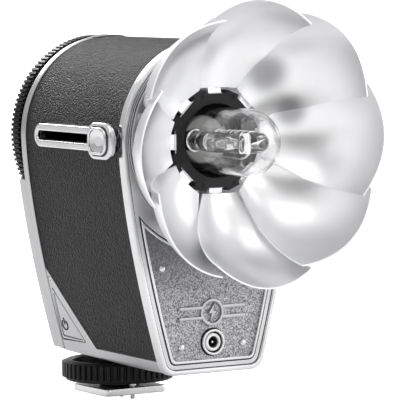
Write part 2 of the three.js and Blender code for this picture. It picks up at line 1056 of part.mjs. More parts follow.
function petalPoint(a, v) {
  const p = PETAL;
  const u = a * (1 - 0.06 * Math.abs(v) ** 2.2 * a ** 3);
  const k = [(1 - u) ** 2, 2 * u * (1 - u), u ** 2];
  const r = k[0] * p.rootR + k[1] * p.midR + k[2] * p.tipR;
  const d = k[0] * p.rootD + k[1] * p.midD + k[2] * p.tipD;
  const dr = (1 - u) * (p.midR - p.rootR) + u * (p.tipR - p.midR);
  const dd = (1 - u) * (p.midD - p.rootD) + u * (p.tipD - p.midD);
  const length = Math.hypot(dr, dd);
  let half = 0.3827 * r + p.overlap * Math.min(1, 3 * a);
  if (a > 0.8) half *= 1 - 0.04 * ((a - 0.8) / 0.2) ** 2;
  const side = v * half;
  const tilt = p.rootTilt + (p.tipTilt - p.rootTilt) * a;
  const push = side * tilt - (p.scoop * side ** 2) / (2 * r);
  return new THREE.Vector3(
    side,
    r - PIVOT_R + (push * dd) / length,
    -(d - (push * dr) / length),
  );
}

function petalShell() {
  const { rows, columns, thick } = PETAL;
  const id = (i, j) => i * (columns + 1) + j;
  const mid = [];
  for (let i = 0; i <= rows; i += 1) {
    for (let j = 0; j <= columns; j += 1) {
      mid.push(petalPoint(i / rows, (2 * j) / columns - 1));
    }
  }
  const front = [];
  const back = [];
  for (let i = 0; i <= rows; i += 1) {
    for (let j = 0; j <= columns; j += 1) {
      const along = mid[id(Math.min(rows, i + 1), j)].clone().sub(mid[id(Math.max(0, i - 1), j)]);
      const across = mid[id(i, Math.min(columns, j + 1))]
        .clone()
        .sub(mid[id(i, Math.max(0, j - 1))]);
      const normal = across.cross(along).normalize().multiplyScalar(thick / 2);
      front.push(mid[id(i, j)].clone().add(normal));
      back.push(mid[id(i, j)].clone().sub(normal));
    }
  }
  const points = [...front, ...back];
  const far = mid.length;
  const index = [];
  const quad = (a, b, c, d) => index.push(a, b, c, a, c, d);
  for (let i = 0; i < rows; i += 1) {
    for (let j = 0; j < columns; j += 1) {
      quad(id(i, j), id(i, j + 1), id(i + 1, j + 1), id(i + 1, j));
      quad(far + id(i, j), far + id(i + 1, j), far + id(i + 1, j + 1), far + id(i, j + 1));
    }
    quad(id(i, 0), id(i + 1, 0), far + id(i + 1, 0), far + id(i, 0));
    quad(id(i, columns), far + id(i, columns), far + id(i + 1, columns), id(i + 1, columns));
  }
  for (let j = 0; j < columns; j += 1) {
    quad(id(0, j), far + id(0, j), far + id(0, j + 1), id(0, j + 1));
    quad(id(rows, j), id(rows, j + 1), far + id(rows, j + 1), far + id(rows, j));
  }
  const shell = new THREE.BufferGeometry();
  const flat = points.flatMap((p) => [p.x, p.y, p.z]);
  shell.setAttribute("position", new THREE.BufferAttribute(new Float32Array(flat), 3));
  shell.setIndex(index);
  return shell;
}

// One petal about its own hinge: x along the hinge, y outwards, z backwards.
function petalGeometry() {
  const knuckle = slabX(circle(0, 0, 0.95, 10), -2.05, 2.05);
  const tab = slabX(
    [
      [0.3, -0.9],
      [3.1, -1.15],
      [3.1, -0.25],
      [0.6, 0.2],
    ],
    -2.05,
    2.05,
  );
  const bore = slabX(circle(0, 0, 0.62, 8), -4, 4);
  return cut(join(petalShell(), tab, knuckle), bore);
}

const petal = petalGeometry();
for (let i = 0; i < PETALS; i += 1) {
  const angle = Math.PI / 2 - i * turnPerPetal;
  const hinge = new THREE.Matrix4().makeBasis(
    new THREE.Vector3(-Math.sin(angle), 0, Math.cos(angle)),
    new THREE.Vector3(Math.cos(angle), 0, Math.sin(angle)),
    new THREE.Vector3(0, 1, 0),
  );
  const mesh = add(`petal_${i + 1}`, petal, petalSilver());
  mesh.quaternion.setFromRotationMatrix(hinge);
  mesh.position.set(...around(0, PIVOT_R, PIVOT_Y, angle));
}

unit.position.y = -SEAT_Y;
const group = new THREE.Group();
group.add(unit);

export default group;
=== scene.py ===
import math

import bmesh
import bpy
from mathutils import Matrix, Vector


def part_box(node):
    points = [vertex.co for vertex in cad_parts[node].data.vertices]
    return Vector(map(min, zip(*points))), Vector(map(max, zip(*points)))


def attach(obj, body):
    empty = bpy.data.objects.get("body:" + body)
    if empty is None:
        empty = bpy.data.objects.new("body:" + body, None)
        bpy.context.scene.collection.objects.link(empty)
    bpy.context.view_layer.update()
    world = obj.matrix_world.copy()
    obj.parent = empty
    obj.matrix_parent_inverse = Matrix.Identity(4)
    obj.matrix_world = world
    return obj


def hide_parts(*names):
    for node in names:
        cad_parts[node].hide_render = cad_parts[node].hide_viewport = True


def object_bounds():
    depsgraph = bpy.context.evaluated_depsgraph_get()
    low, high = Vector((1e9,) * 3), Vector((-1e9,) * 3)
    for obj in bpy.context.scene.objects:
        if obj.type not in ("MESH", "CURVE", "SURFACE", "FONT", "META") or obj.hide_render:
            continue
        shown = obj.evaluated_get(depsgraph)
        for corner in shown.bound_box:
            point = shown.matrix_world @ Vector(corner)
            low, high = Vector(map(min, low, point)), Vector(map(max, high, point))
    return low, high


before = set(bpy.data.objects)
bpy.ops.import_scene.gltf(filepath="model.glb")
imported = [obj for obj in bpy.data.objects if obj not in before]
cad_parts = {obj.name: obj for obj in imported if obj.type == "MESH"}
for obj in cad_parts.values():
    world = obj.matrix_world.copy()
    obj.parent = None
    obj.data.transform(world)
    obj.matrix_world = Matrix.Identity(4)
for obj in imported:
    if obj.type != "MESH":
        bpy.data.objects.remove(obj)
cadLow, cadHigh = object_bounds()
print("frame loaded:", len(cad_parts), "nodes")

mm = 0.001  # shapes below are drawn in millimetres, in the row frame
weldGap = 1e-7  # metres; points nearer than this become one


def box(node):
    low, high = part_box(node)
    return low / mm, high / mm


# one output socket; arithmetic on it adds Math nodes
class Sock:
    def __init__(self, graph, socket):
        self.graph = graph
        self.socket = socket

    def calc(self, operation, *values):
        return self.graph.node("ShaderNodeMath", {"operation": operation}, list(values))

    def __add__(self, other):
        return self.calc("ADD", self, other)

    def __radd__(self, other):
        return self.calc("ADD", other, self)

    def __sub__(self, other):
        return self.calc("SUBTRACT", self, other)

    def __rsub__(self, other):
        return self.calc("SUBTRACT", other, self)

    def __mul__(self, other):
        return self.calc("MULTIPLY", self, other)

    def __rmul__(self, other):
        return self.calc("MULTIPLY", other, self)

    def smooth(self, low, high):
        return self.graph.node(
            "ShaderNodeMapRange",
            {"interpolation_type": "SMOOTHSTEP"},
            {"Value": self, "From Min": low, "From Max": high},
        )


# a material's node tree; node() adds any node: type, settings, then values and links
class Graph:
    def __init__(self, name):
        self.material = bpy.data.materials.new(name)
        self.material.use_nodes = True
        self.tree = self.material.node_tree
        self.tree.nodes.clear()

    def node(self, kind, settings=None, values=None, output=0):
        made = self.tree.nodes.new(kind)
        for key, value in (settings or {}).items():
            setattr(made, key, value)
        pairs = enumerate(values) if isinstance(values, list) else (values or {}).items()
        for key, value in pairs:
            self.feed(made.inputs[key], value)
        return Sock(self, made.outputs[output]) if made.outputs else None

    def feed(self, socket, value):
        if isinstance(value, Sock):
            self.tree.links.new(value.socket, socket)
        elif isinstance(value, tuple) and len(value) == 3 and socket.type == "RGBA":
            socket.default_value = (*value, 1)
        else:
            socket.default_value = value

    # object coordinates in millimetres, stretched
    def place(self, stretch=(1.0, 1.0, 1.0)):
        where = self.node("ShaderNodeTexCoord", output="Object")
        size = tuple(c / mm for c in stretch)
        return self.node("ShaderNodeMapping", None, {"Vector": where, "Scale": size})

    def noise(self, where, scale, detail=3.0, rough=0.5):
        values = {"Vector": where, "Scale": scale, "Detail": detail, "Roughness": rough}
        return self.node("ShaderNodeTexNoise", None, values)

    # colour a where the mask is 0 and b where it is 1
    def mix(self, mask, a, b):
        made = self.tree.nodes.new("ShaderNodeMix")
        made.data_type = "RGBA"
        for socket, value in ((made.inputs[0], mask), (made.inputs[6], a), (made.inputs[7], b)):
            self.feed(socket, value)
        return Sock(self, made.outputs[2])

    def bump(self, height, depth):
        values = {"Strength": 1.0, "Distance": depth * mm, "Height": height}
        return self.node("ShaderNodeBump", None, values)

    def surface(self, values):
        shader = self.node("ShaderNodeBsdfPrincipled", None, values)
        self.node("ShaderNodeOutputMaterial", None, {"Surface": shader})
        return self.material


# plated or anodised metal: faint cloudy tone, uneven polish and an optional fine grain
def silver(name, tone, roughness, spread, grain=0.0, grainScale=3.0):
    g = Graph(name)
    where = g.place()
    cloud = g.noise(where, 0.09, 2.0)
    fine = g.noise(where, grainScale, 4.0, 0.6)
    dark = tuple(c * 0.9 for c in tone)
    values = {
        "Base Color": g.mix(cloud.smooth(0.3, 0.7), dark, tone),
        "Metallic": 1.0,
        "Roughness": roughness + spread * (fine - 0.5) + spread * (cloud - 0.5),
    }
    if grain:
        values["Normal"] = g.bump(fine, grain)
    return g.surface(values)


# moulded plastic with a fine etched skin
def plastic(name, tone, roughness, grain=0.02, grainScale=4.0, coat=0.0, specular=0.3):
    g = Graph(name)
    where = g.place()
    fine = g.noise(where, grainScale, 3.0, 0.6)
    cloud = g.noise(where, 0.15, 2.0)
    light = tuple(min(1.0, c * 1.4 + 0.002) for c in tone)
    values = {
        "Base Color": g.mix(cloud.smooth(0.35, 0.75), tone, light),
        "Roughness": roughness + 0.12 * (fine - 0.5),
        "Coat Weight": coat,
        "Specular IOR Level": specular,
        "Normal": g.bump(fine, grain),
    }
    return g.surface(values)


petalToneAndPaintedReflections = {
    "tone": (0.95, 0.95, 0.96),
    "mottle_and_painted_reflection": (0.36, 0.36, 0.37),
    "painted_reflection_spots": (  # centre, radius and strength of each painted reflection, a soft grey patch
        ((13.0, -60.0, 85.5), 8.5, 0.95),
        ((20.5, -59.0, 76.5), 7.0, 0.8),
        ((28.0, -65.0, 63.5), 8.0, 0.35),
        ((-9.5, -66.5, 41.5), 9.0, 0.35),
        ((-5.5, -60.0, 92.0), 8.0, 0.35),
        ((6.0, -66.0, 40.0), 7.0, 0.25),
    ),
}


# satin reflector metal with a faint mottle and a few painted reflections as soft grey patches
def petalMetal():
    s = petalToneAndPaintedReflections
    g = Graph("petal_silver")
    where = g.place()
    fine = g.noise(where, 7.0, 4.0, 0.6)
    # grey mask: a faint random mottle plus the painted reflections, one soft grey patch round each spot
    mottle_and_painted_reflection = 0.06 * g.noise(where, 0.12, 2.0)
    for centre, radius, strength in s["painted_reflection_spots"]:
        away = g.node("ShaderNodeVectorMath", {"operation": "DISTANCE"}, [where, centre], output=1)
        mottle_and_painted_reflection = mottle_and_painted_reflection + strength * (1 - away.smooth(radius * 0.15, radius))
    return g.surface(
        {
            "Base Color": g.mix(mottle_and_painted_reflection.smooth(0, 1), s["tone"], s["mottle_and_painted_reflection"]),
            "Metallic": 0.86,
            "Roughness": 0.31 + 0.05 * (fine - 0.5),
            "Normal": g.bump(fine, 0.002),
        }
    )


leatherSettings = {
    "pebble": 1.9,  # cells per millimetre
    "depth": 1.1,
    "dark": (0.002, 0.002, 0.0023),
    "light": (0.09, 0.09, 0.091),
    "roughness": 0.4,
}


def leather():
    s = leatherSettings
    g = Graph("pebbled_leatherette")
    where = g.place()
    warp = g.node("ShaderNodeTexNoise", None, {"Vector": where, "Scale": 0.8, "Detail": 2.0}, output=1)
    bent = g.node("ShaderNodeVectorMath", {"operation": "MULTIPLY_ADD"}, [warp, (0.8, 0.8, 0.8), where])
    cells = g.node(
        "ShaderNodeTexVoronoi",
        {"feature": "SMOOTH_F1"},
        {"Vector": bent, "Scale": s["pebble"], "Smoothness": 0.45},
    )
    small = g.node("ShaderNodeTexVoronoi", None, {"Vector": bent, "Scale": 2.1 * s["pebble"]})
    fine = g.noise(where, 5.0, 3.0, 0.6)
    pebble = (1 - cells.smooth(0.1, 0.75)) * 0.7 + (1 - small) * 0.35 + 0.2 * fine
    patch = g.noise(where, 0.06, 2.0)
    tone = g.mix(pebble.smooth(0.8, 1.15), s["dark"], s["light"])
    return g.surface(
        {
            "Base Color": tone,
            "Roughness": s["roughness"] + 0.22 * (fine - 0.5) + 0.1 * (patch - 0.5),
            "Specular IOR Level": 0.32,
            "Normal": g.bump(pebble, s["depth"]),
        }
    )


blastSettings = {
    "tone": (0.58, 0.58, 0.59),
    "pit": (0.15, 0.15, 0.155),
    "grain": 3.4,
    "depth": 0.14,
    "painted_shadow_heights": (24, 46),  # heights between which a painted shadow darkens it, standing for the shade under the petals
    "painted_shadow_strength": 0.85,
}


# coarse sand-blasted plate: bright facets between dark pits, with a painted shadow making it darker towards
# the top
def blasted():
    s = blastSettings
    g = Graph("blasted_plate")
    where = g.place()
    grain = g.noise(where, s["grain"], 3.0, 0.62)
    cells = g.node("ShaderNodeTexVoronoi", None, {"Vector": where, "Scale": 1.5 * s["grain"]})
    height = grain * 0.8 + cells * 0.35
    pits = grain.smooth(0.34, 0.66)
    # painted shadow: the plate turns darker with height, for the shade cast by the petals above
    rise = g.node("ShaderNodeSeparateXYZ", None, [where], output=2)
    paintedShadowMask = rise.smooth(*s["painted_shadow_heights"])
    return g.surface(
        {
            "Base Color": g.mix(s["painted_shadow_strength"] * paintedShadowMask, g.mix(pits, s["pit"], s["tone"]), s["pit"]),
            "Metallic": 0.95,
            "Roughness": 0.42 + 0.3 * (1 - pits),
            "Normal": g.bump(height, s["depth"]),
        }
    )


brushSettings = {"stretch": (0.3, 9.0, 9.0), "dark": 0.72, "uneven": 0.18, "depth": 0.01}


# steel with fine parallel scratches along one direction
def brushed(name, tone, roughness):
    s = brushSettings
    g = Graph(name)
    scratch = g.noise(g.place(s["stretch"]), 1.0, 4.0, 0.65)
    dark = tuple(c * s["dark"] for c in tone)
    return g.surface(
        {
            "Base Color": g.mix(scratch.smooth(0.3, 0.7), dark, tone),
            "Metallic": 1.0,
            "Roughness": roughness + s["uneven"] * (scratch - 0.5),
            "Normal": g.bump(scratch, s["depth"]),
        }
    )


def glass(name, tint, roughness, wave=0.004):
    g = Graph(name)
    where = g.place()
    ripple = g.noise(where, 0.12, 2.0)
    return g.surface(
        {
            "Base Color": tint,
            "Roughness": roughness,
            "IOR": 1.47,
            "Transmission Weight": 1.0,
            "Normal": g.bump(ripple, wave),
        }
    )


# a small lens with a faint light behind it
def glow(name, tone, inner, strength):
    g = Graph(name)
    where = g.place()
    cloud = g.noise(where, 1.2, 2.0)
    return g.surface(
        {
            "Base Color": g.mix(cloud, tone, inner),
            "Roughness": 0.15,
            "Coat Weight": 0.6,
            "Emission Color": g.mix(cloud, tone, inner),
            "Emission Strength": strength,
        }
    )


finishes = {
    "satin": silver("satin_silver", (0.50, 0.50, 0.51), 0.3, 0.1, 0.004, 5.0),
    "bright": silver("bright_silver", (0.72, 0.72, 0.73), 0.16, 0.06),
    "petal": petalMetal(),
    "plate": silver("plate_silver", (0.62, 0.62, 0.63), 0.22, 0.06),
    "blasted": blasted(),
    "leather": leather(),
    "black": plastic("black_plastic", (0.006, 0.006, 0.0065), 0.42, 0.012),
    "dial": plastic("dial_black", (0.004, 0.004, 0.0045), 0.32, 0.012, 5.0, specular=0.2),
    "hub": plastic("hub_black", (0.012, 0.012, 0.013), 0.5, 0.02, 3.0),
    "steel": brushed("brushed_steel", (0.92, 0.92, 0.93), 0.2),
    "white": plastic("white_ceramic", (0.82, 0.82, 0.80), 0.25, 0.004, 3.0, 0.4),
    "glass": glass("clear_glass", (1.0, 1.0, 1.0), 0.0),
    "quartz": glass("quartz", (1.0, 1.0, 1.0), 0.02, 0.02),
    "amber": glow("amber_lens", (0.8, 0.28, 0.02), (0.95, 0.5, 0.08), 0.25),
    "clear": glow("clear_lens", (0.55, 0.62, 0.58), (0.9, 0.95, 0.9), 0.15),
    "red": plastic("red_button", (0.30, 0.018, 0.014), 0.3, 0.008, 3.0, 0.5),
    "sleeve": plastic("cell_sleeve", (0.03, 0.10, 0.26), 0.3, 0.006, 2.0, 0.4),
    "can": plastic("capacitor_sleeve", (0.012, 0.02, 0.035), 0.3, 0.006, 2.0, 0.4),
    "board": plastic("solder_mask", (0.01, 0.09, 0.03), 0.35, 0.01, 2.0, 0.3),
    "ink": plastic("dark_ink", (0.02, 0.02, 0.022), 0.5, 0.004),
}
print("materials made:", len(finishes))


def arc(cx, cy, radius, start, stop, steps):
    return [
        (
            cx + radius * math.cos(start + (stop - start) * i / steps),
            cy + radius * math.sin(start + (stop - start) * i / steps),
        )
        for i in range(steps + 1)
    ]


def circle(cx, cy, radius, steps=72):
    return arc(cx, cy, radius, 0, 2 * math.pi, steps)[:-1]


def roundedRect(cx, cy, width, height, radius, steps=10):
    x, y, quarter = width / 2 - radius, height / 2 - radius, math.pi / 2
    points = []
    for i, (sx, sy) in enumerate(((1, 1), (-1, 1), (-1, -1), (1, -1))):
        points += arc(cx + sx * x, cy + sy * y, radius, i * quarter, (i + 1) * quarter, steps)
    return points


# a polygon with rounded corners
def rounded(points, radius, steps=6):
    result = []
    for i, corner in enumerate(points):
        p = Vector(corner)
        a = p + (Vector(points[i - 1]) - p).normalized() * radius
        b = p + (Vector(points[(i + 1) % len(points)]) - p).normalized() * radius
        for j in range(steps + 1):
            t = j / steps
            q = (1 - t) ** 2 * a + 2 * t * (1 - t) * p + t * t * b
            result.append((q.x, q.y))
    return result


axes = {  # drawn x, drawn y, thickness
    "y": Matrix(((1, 0, 0), (0, 0, -1), (0, 1, 0))).to_4x4(),
    "z": Matrix.Identity(4),
    "x": Matrix(((0, 0, 1), (1, 0, 0), (0, 1, 0))).to_4x4(),
}


def inScene(name, data):
    made = bpy.data.objects.new(name, data)
    bpy.context.scene.collection.objects.link(made)
    return made


# the middle of a node's box, across and up
def middleOf(node):
    low, high = box(node)
    return (low.x + high.x) / 2, (low.z + high.z) / 2


def meshOf(work, name):
    made = bpy.data.meshes.new(name)
    work.to_mesh(made)
    work.free()
    return made


# faces between two rows of points, all the way round or open
def bridge(work, near, far, around=True):
    count = len(near)
    for j in range(count if around else count - 1):
        k = (j + 1) % count
        work.faces.new((near[j], near[k], far[k], far[j]))


# puts a finished mesh in the scene: material, body, the nodes it stands for
def addPiece(name, mesh, finish, body, nodes=(), weighted=True, sharp=35):
    mesh.shade_smooth()
    mesh.set_sharp_from_angle(angle=math.radians(sharp))
    made = inScene(name, mesh)
    mesh.materials.clear()
    mesh.materials.append(finishes[finish])
    if weighted:
        made.modifiers.new("normals", "WEIGHTED_NORMAL").keep_sharp = True
    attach(made, body)
    if nodes:
        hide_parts(*nodes)
    return made


# a flat plate with rounded edges: the first loop is the rim, the rest are holes
def plate(loops, low, high, axis="y", bevel=0.2, rings=3):
    data = bpy.data.curves.new("drawing", "CURVE")
    data.dimensions = "2D"
    data.fill_mode = "BOTH"
    data.extrude = (high - low) / 2 - bevel
    data.bevel_depth = bevel
    data.bevel_resolution = rings
    data.offset = -bevel
    for loop in loops:
        spline = data.splines.new("POLY")
        spline.points.add(len(loop) - 1)
        for point, (a, b) in zip(spline.points, loop):
            point.co = (a, b, 0, 1)
        spline.use_cyclic_u = True
    holder = bpy.data.objects.new("drawing", data)
    mesh = bpy.data.meshes.new_from_object(holder)
    bpy.data.objects.remove(holder)
    bpy.data.curves.remove(data)
    middle = (low + high) / 2
    shift = {"x": (middle, 0, 0), "y": (0, middle, 0), "z": (0, 0, middle)}[axis]
    mesh.transform(Matrix.Scale(mm, 4) @ Matrix.Translation(shift) @ axes[axis])
    weld(mesh)
    return mesh


def weld(mesh):
    work = bmesh.new()
    work.from_mesh(mesh)
    bmesh.ops.remove_doubles(work, verts=work.verts, dist=weldGap)
    bmesh.ops.recalc_face_normals(work, faces=work.faces)
    work.to_mesh(mesh)
    work.free()


def joined(*meshes):
    work = bmesh.new()
    for mesh in meshes:
        work.from_mesh(mesh)
        bpy.data.meshes.remove(mesh)
    return meshOf(work, "joined")


# an open (radius, height) profile with its inner corners rounded
def softened(profile, radius, steps=4):
    points = [profile[0]]
    for i in range(1, len(profile) - 1):
        p, a, b = Vector(profile[i]), Vector(profile[i - 1]), Vector(profile[i + 1])
        reach = min(radius, (a - p).length * 0.45, (b - p).length * 0.45)
        start, stop = p + (a - p).normalized() * reach, p + (b - p).normalized() * reach
        for j in range(steps + 1):
            t = j / steps
            q = (1 - t) ** 2 * start + 2 * t * (1 - t) * p + t * t * stop
            points.append((q.x, q.y))
    points.append(profile[-1])
    return points


# a turned piece: the (radius, along) profile goes round the axis through centre (two values)
def turned(profile, centre, axis="y", steps=72, radius=0.15):
    points = softened(profile, radius) if radius else profile
    work = bmesh.new()
    columns = []
    for i in range(steps):
        angle = 2 * math.pi * i / steps
        ring = []
        for r, along in points:
            a, b = centre[0] + r * math.cos(angle), centre[1] + r * math.sin(angle)
            place = (a, along, b) if axis == "y" else (a, b, along)
            ring.append(work.verts.new([c * mm for c in place]))
        columns.append(ring)
    for i in range(steps):
        bridge(work, columns[i], columns[(i + 1) % steps], around=False)
    bmesh.ops.remove_doubles(work, verts=work.verts, dist=weldGap)
    bmesh.ops.dissolve_degenerate(work, dist=weldGap / 10, edges=work.edges)
    bmesh.ops.recalc_face_normals(work, faces=work.faces)
    return meshOf(work, "turned")


# a round rod along a list of points, with flat ends
def swept(path, radius, sides=20):
    work = bmesh.new()
    rings = []
    points = [Vector(p) for p in path]
    side = Vector((0, 0, 1))
    for i, p in enumerate(points):
        ahead = points[min(i + 1, len(points) - 1)] - points[max(i - 1, 0)]
        ahead.normalize()
        side = (side - ahead * side.dot(ahead)).normalized()
        other = ahead.cross(side)
        ring = []
        for j in range(sides):
            angle = 2 * math.pi * j / sides
            away = math.cos(angle) * side + math.sin(angle) * other
            ring.append(work.verts.new((p + radius * away) * mm))
        rings.append(ring)
    for near, far in zip(rings, rings[1:]):
        bridge(work, near, far)
    for ring in (rings[0], rings[-1]):
        work.faces.new(ring)
    bmesh.ops.recalc_face_normals(work, faces=work.faces)
    return meshOf(work, "swept")


# a CAD node that keeps its own shape: smooth shading and a better material
def dress(node, finish, angle=32):
    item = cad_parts[node]
    mesh = item.data
    for polygon in mesh.polygons:
        polygon.use_smooth = True
    if "custom_normal" in mesh.attributes:
        mesh.attributes.remove(mesh.attributes["custom_normal"])
    join = item.modifiers.new("weld", "WELD")
    join.merge_threshold = 2e-6
    split = item.modifiers.new("split", "EDGE_SPLIT")
    split.split_angle = math.radians(angle)
    mesh.materials.clear()
    mesh.materials.append(finishes[finish])


bezelLow, bezelHigh = box("front_bezel")
headR = bezelHigh.x
headZ = bezelHigh.z - headR
baseZ = bezelLow.z
caseShape = {"baseHalf": 14.5, "corner": 3.2, "curve": 1.5, "slope": 0.042}


def halfWidth(z):
    rise = max(1 - (z - baseZ) / (headZ - baseZ), 0)
    return headR - (headR - caseShape["baseHalf"]) * rise ** caseShape["curve"]


def flankSlope(z):
    return (halfWidth(z + 0.05) - halfWidth(z - 0.05)) / 0.1


def flankAt(z, inset):
    on = z
    for _ in range(8):
        slope = flankSlope(on)
        on = z - inset * slope / math.hypot(1, slope)
    return halfWidth(on) - inset / math.hypot(1, flankSlope(on))


def lowerFlank(inset, top, steps=24):
    floor = baseZ + inset
    corner = max(caseShape["corner"] - 0.6 * inset, 1)
    edge, upX = flankAt(floor, inset), flankAt(floor + corner, inset)
    points = []
    for i in range(9):
        t = i / 8
        a, b, c = (1 - t) ** 2, 2 * t * (1 - t), t * t
        points.append((a * (edge - corner) + b * edge + c * upX, floor + c * corner))
    for i in range(1, steps + 1):
        z = floor + corner + (top - floor - corner) * i / steps
        points.append((flankAt(z, inset), z))
    return points


def mirrored(points):
    return [(-x, z) for x, z in reversed(points)]


def caseOutline(inset):
    right = lowerFlank(inset, headZ)
    return right + arc(0, headZ, headR - inset, 0, math.pi, 72)[1:-1] + mirrored(right)


def belowMouth(inset, radius):
    z = headZ - 10
    while math.hypot(flankAt(z, inset), z - headZ) < radius:
        z -= 0.02
    right = lowerFlank(inset, z, 16)
    x, top = right[-1]
    start = math.atan2(top - headZ, x)
    return right + arc(0, headZ, radius, start, -math.pi - start, 40)[1:-1] + mirrored(right)


bezelSettings = {
    "band": 1.35,
    "round": 0.42,
    "plateInset": 1.5,
    "window": (2.6, 28.1),  # inset from the outline and radius under the mouth
    "panel": (2.9, 28.4),
    "border": (2.9 + 0.72, 29.12),
    "socketHole": 3.6,
}


def buildFront():
    s = bezelSettings
    front, back = bezelLow.y, bezelHigh.y
    band = plate([caseOutline(0), caseOutline(s["band"])], front, back, bevel=s["round"], rings=4)
    addPiece("bezel_band", band, "bright", "case", ["front_bezel"])
    low, high = box("front_plate")
    ringLow, ringHigh = box("mouth_ring")
    ringR = ringHigh.x
    window = belowMouth(*s["window"])
    loops = [caseOutline(s["plateInset"]), circle(0, headZ, ringR + 0.05, 120), window]
    addPiece("face_plate", plate(loops, low.y, high.y, bevel=0.1), "plate", "case", ["front_plate"])
    loops = [circle(0, headZ, ringR, 120), circle(0, headZ, ringR - 0.25, 120)]
    ring = plate(loops, ringLow.y, ringHigh.y, bevel=0.08)
    addPiece("mouth_edge", ring, "bright", "case", ["mouth_ring"])
    low, high = box("carriage_face")
    rim = high.x
    profile = [(10.4, high.y - 0.3), (10.4, low.y + 0.5), (13, low.y + 0.55), (17.5, low.y + 0.6)]
    profile += [(21, low.y + 0.22), (22.5, low.y + 0.02), (23.0, low.y), (rim, low.y + 0.3)]
    profile += [(rim, high.y), (22.4, high.y - 0.1), (10.4, high.y - 0.3)]
    disc = turned(profile, (0, headZ), radius=0.25, steps=120)
    addPiece("carriage_dish", disc, "plate", "carriage", ["carriage_face"], weighted=False)

    low, high = box("badge_panel")
    hole = circle(*middleOf("sync_socket_collar"), s["socketHole"])
    panel = belowMouth(*s["panel"])
    base = plate([panel, hole], low.y + 0.6, high.y, bevel=0.1)
    lip = plate([panel, belowMouth(*s["border"])], low.y, low.y + 0.75, bevel=0.2)
    addPiece("badge_plate", base, "blasted", "case", ["badge_panel"])
    addPiece("badge_border", lip, "bright", "case")


ornamentSettings = {
    "ring": 3.5,
    "band": 0.75,
    "stripe": (2.9, 10.0),
    "gap": 1.3,
    "half": 0.45,
    "bolt": ((0.9, 3), (-1.5, -0.35), (-0.2, -0.35), (-0.9, -3), (1.5, 0.35), (0.2, 0.35)),
    "boltSize": 0.8,
}


def buildOrnament():
    s = ornamentSettings
    low, high = box("badge_ornament")
    z = (low.z + high.z) / 2
    bolt = [(x * s["boltSize"], z + dz * s["boltSize"]) for x, dz in s["bolt"]]
    front, back = low.y - 0.05, high.y + 0.1
    pieces = [
        plate([circle(0, z, s["ring"]), circle(0, z, s["ring"] - s["band"])], front, back, bevel=0.22),
        plate([bolt], front, back, bevel=0.12),
    ]
    for side in (-1, 1):
        for row in (-1, 1):
            start, stop = s["stripe"]
            middle = side * (start + stop) / 2
            bar = roundedRect(middle, z + row * s["gap"], stop - start, 2 * s["half"], 0.4, 5)
            pieces.append(plate([bar], front, back, bevel=0.22))
    addPiece("badge_motif", joined(*pieces), "satin", "case", ["badge_ornament"])


def buildRivets():
    for corner in ("upper_left", "upper_right", "lower_left", "lower_right"):
        node = "badge_rivet_" + corner
        low, high = box(node)
        r, front, back = (high.x - low.x) / 2, low.y, high.y
        angles = [i / 8 * math.pi / 2 for i in range(9)]
        dome = [(r * math.sin(t), front + 0.55 * (1 - math.cos(t))) for t in angles]
        skirt = [(r, back + 0.05), (r + 0.14, back - 0.02), (r + 0.14, back + 0.15), (0, back + 0.15)]
        head = turned([*dome, *skirt], middleOf(node), steps=36, radius=0)
        addPiece("rivet_" + corner, head, "bright", "case", [node])


socketSettings = {"collarRound": 0.22, "barrel": 2.32, "bore": 1.5}


def buildSocket():
    s = socketSettings
    low, high = box("sync_socket_collar")
    centre = middleOf("sync_socket_collar")
    outer = (high.x - low.x) / 2
    loops = [circle(*centre, outer), circle(*centre, outer - 0.62)]
    collar = plate(loops, low.y, high.y, bevel=s["collarRound"])
    addPiece("socket_collar", collar, "bright", "case", ["sync_socket_collar"])
    low, high = box("sync_socket_barrel")
    outside, bore = s["barrel"], s["bore"]
    barrel = [(0, high.y), (outside, high.y), (outside, low.y + 0.35), (outside - 0.3, low.y)]
    barrel += [(bore + 0.12, low.y), (bore, low.y + 0.2), (bore, low.y + 3.4), (0, low.y + 3.4)]
    addPiece("socket_barrel", turned(barrel, centre, radius=0.12), "white", "case", ["sync_socket_barrel"])
    liner = [(bore - 0.02, low.y + 0.45), (bore - 0.3, low.y + 0.6), (bore - 0.3, low.y + 3.3)]
    liner.append((0.5, low.y + 3.3))
    addPiece("socket_liner", turned(liner, centre, radius=0.05), "ink", "case")
    low, high = box("sync_socket_pin")
    pin = [(0, low.y), (0.24, low.y + 0.08), (0.4, low.y + 0.4), (0.4, high.y), (0, high.y)]
    addPiece("socket_pin", turned(pin, centre, radius=0.05, steps=24), "steel", "case", ["sync_socket_pin"])
    back = [(3.7, low.y + 0.95), (2.3, low.y + 0.95)]
    addPiece("socket_gasket", turned(back, centre, radius=0), "ink", "case")


buildFront()
buildOrnament()
buildRivets()
buildSocket()
print("front built")


def buildCase():
    dress("body_shell", "satin", 30)
    dress("leatherette_wrap", "leather", 30)
    for node in ("guide_rod_left", "guide_rod_right", "hinge_wire", "trigger_wire"):
        dress(node, "steel")
    dress("battery_cell", "sleeve")
    dress("flash_capacitor", "can")
    dress("circuit_board", "board")
    dress("carriage_block", "black")


trimSettings = {"round": 0.45, "slotHalf": 1.15}


def buildSlotTrim():
    s = trimSettings
    low, high = box("slot_trim")
    y, z = (low.y + high.y) / 2, (low.z + high.z) / 2
    height = high.z - low.z
    rim = roundedRect(y, z, high.y - low.y, height, height / 2 - 0.02, 16)
    hole = roundedRect(y, z, high.y - low.y - 3.2, 2 * s["slotHalf"], s["slotHalf"] - 0.02, 12)
    frameMesh = plate([rim, hole], low.x, high.x, "x", s["round"], 4)
    addPiece("slot_frame", frameMesh, "bright", "case", ["slot_trim"])


knobSettings = {
    "wider": 1.4,
    "corner": 3.5,
    "round": 0.6,
    "rim": (8.8, 7.0),
    "rimCorner": 2.6,
    "rimBand": 0.75,
    "dish": (7.3, 5.5),
    "padIn": -26.85,
    "neck": (-46, 70, 4.2, 1.6, 0.4, 3),  # middle, size, corner and corner steps
    "neckIn": -22.5,
}


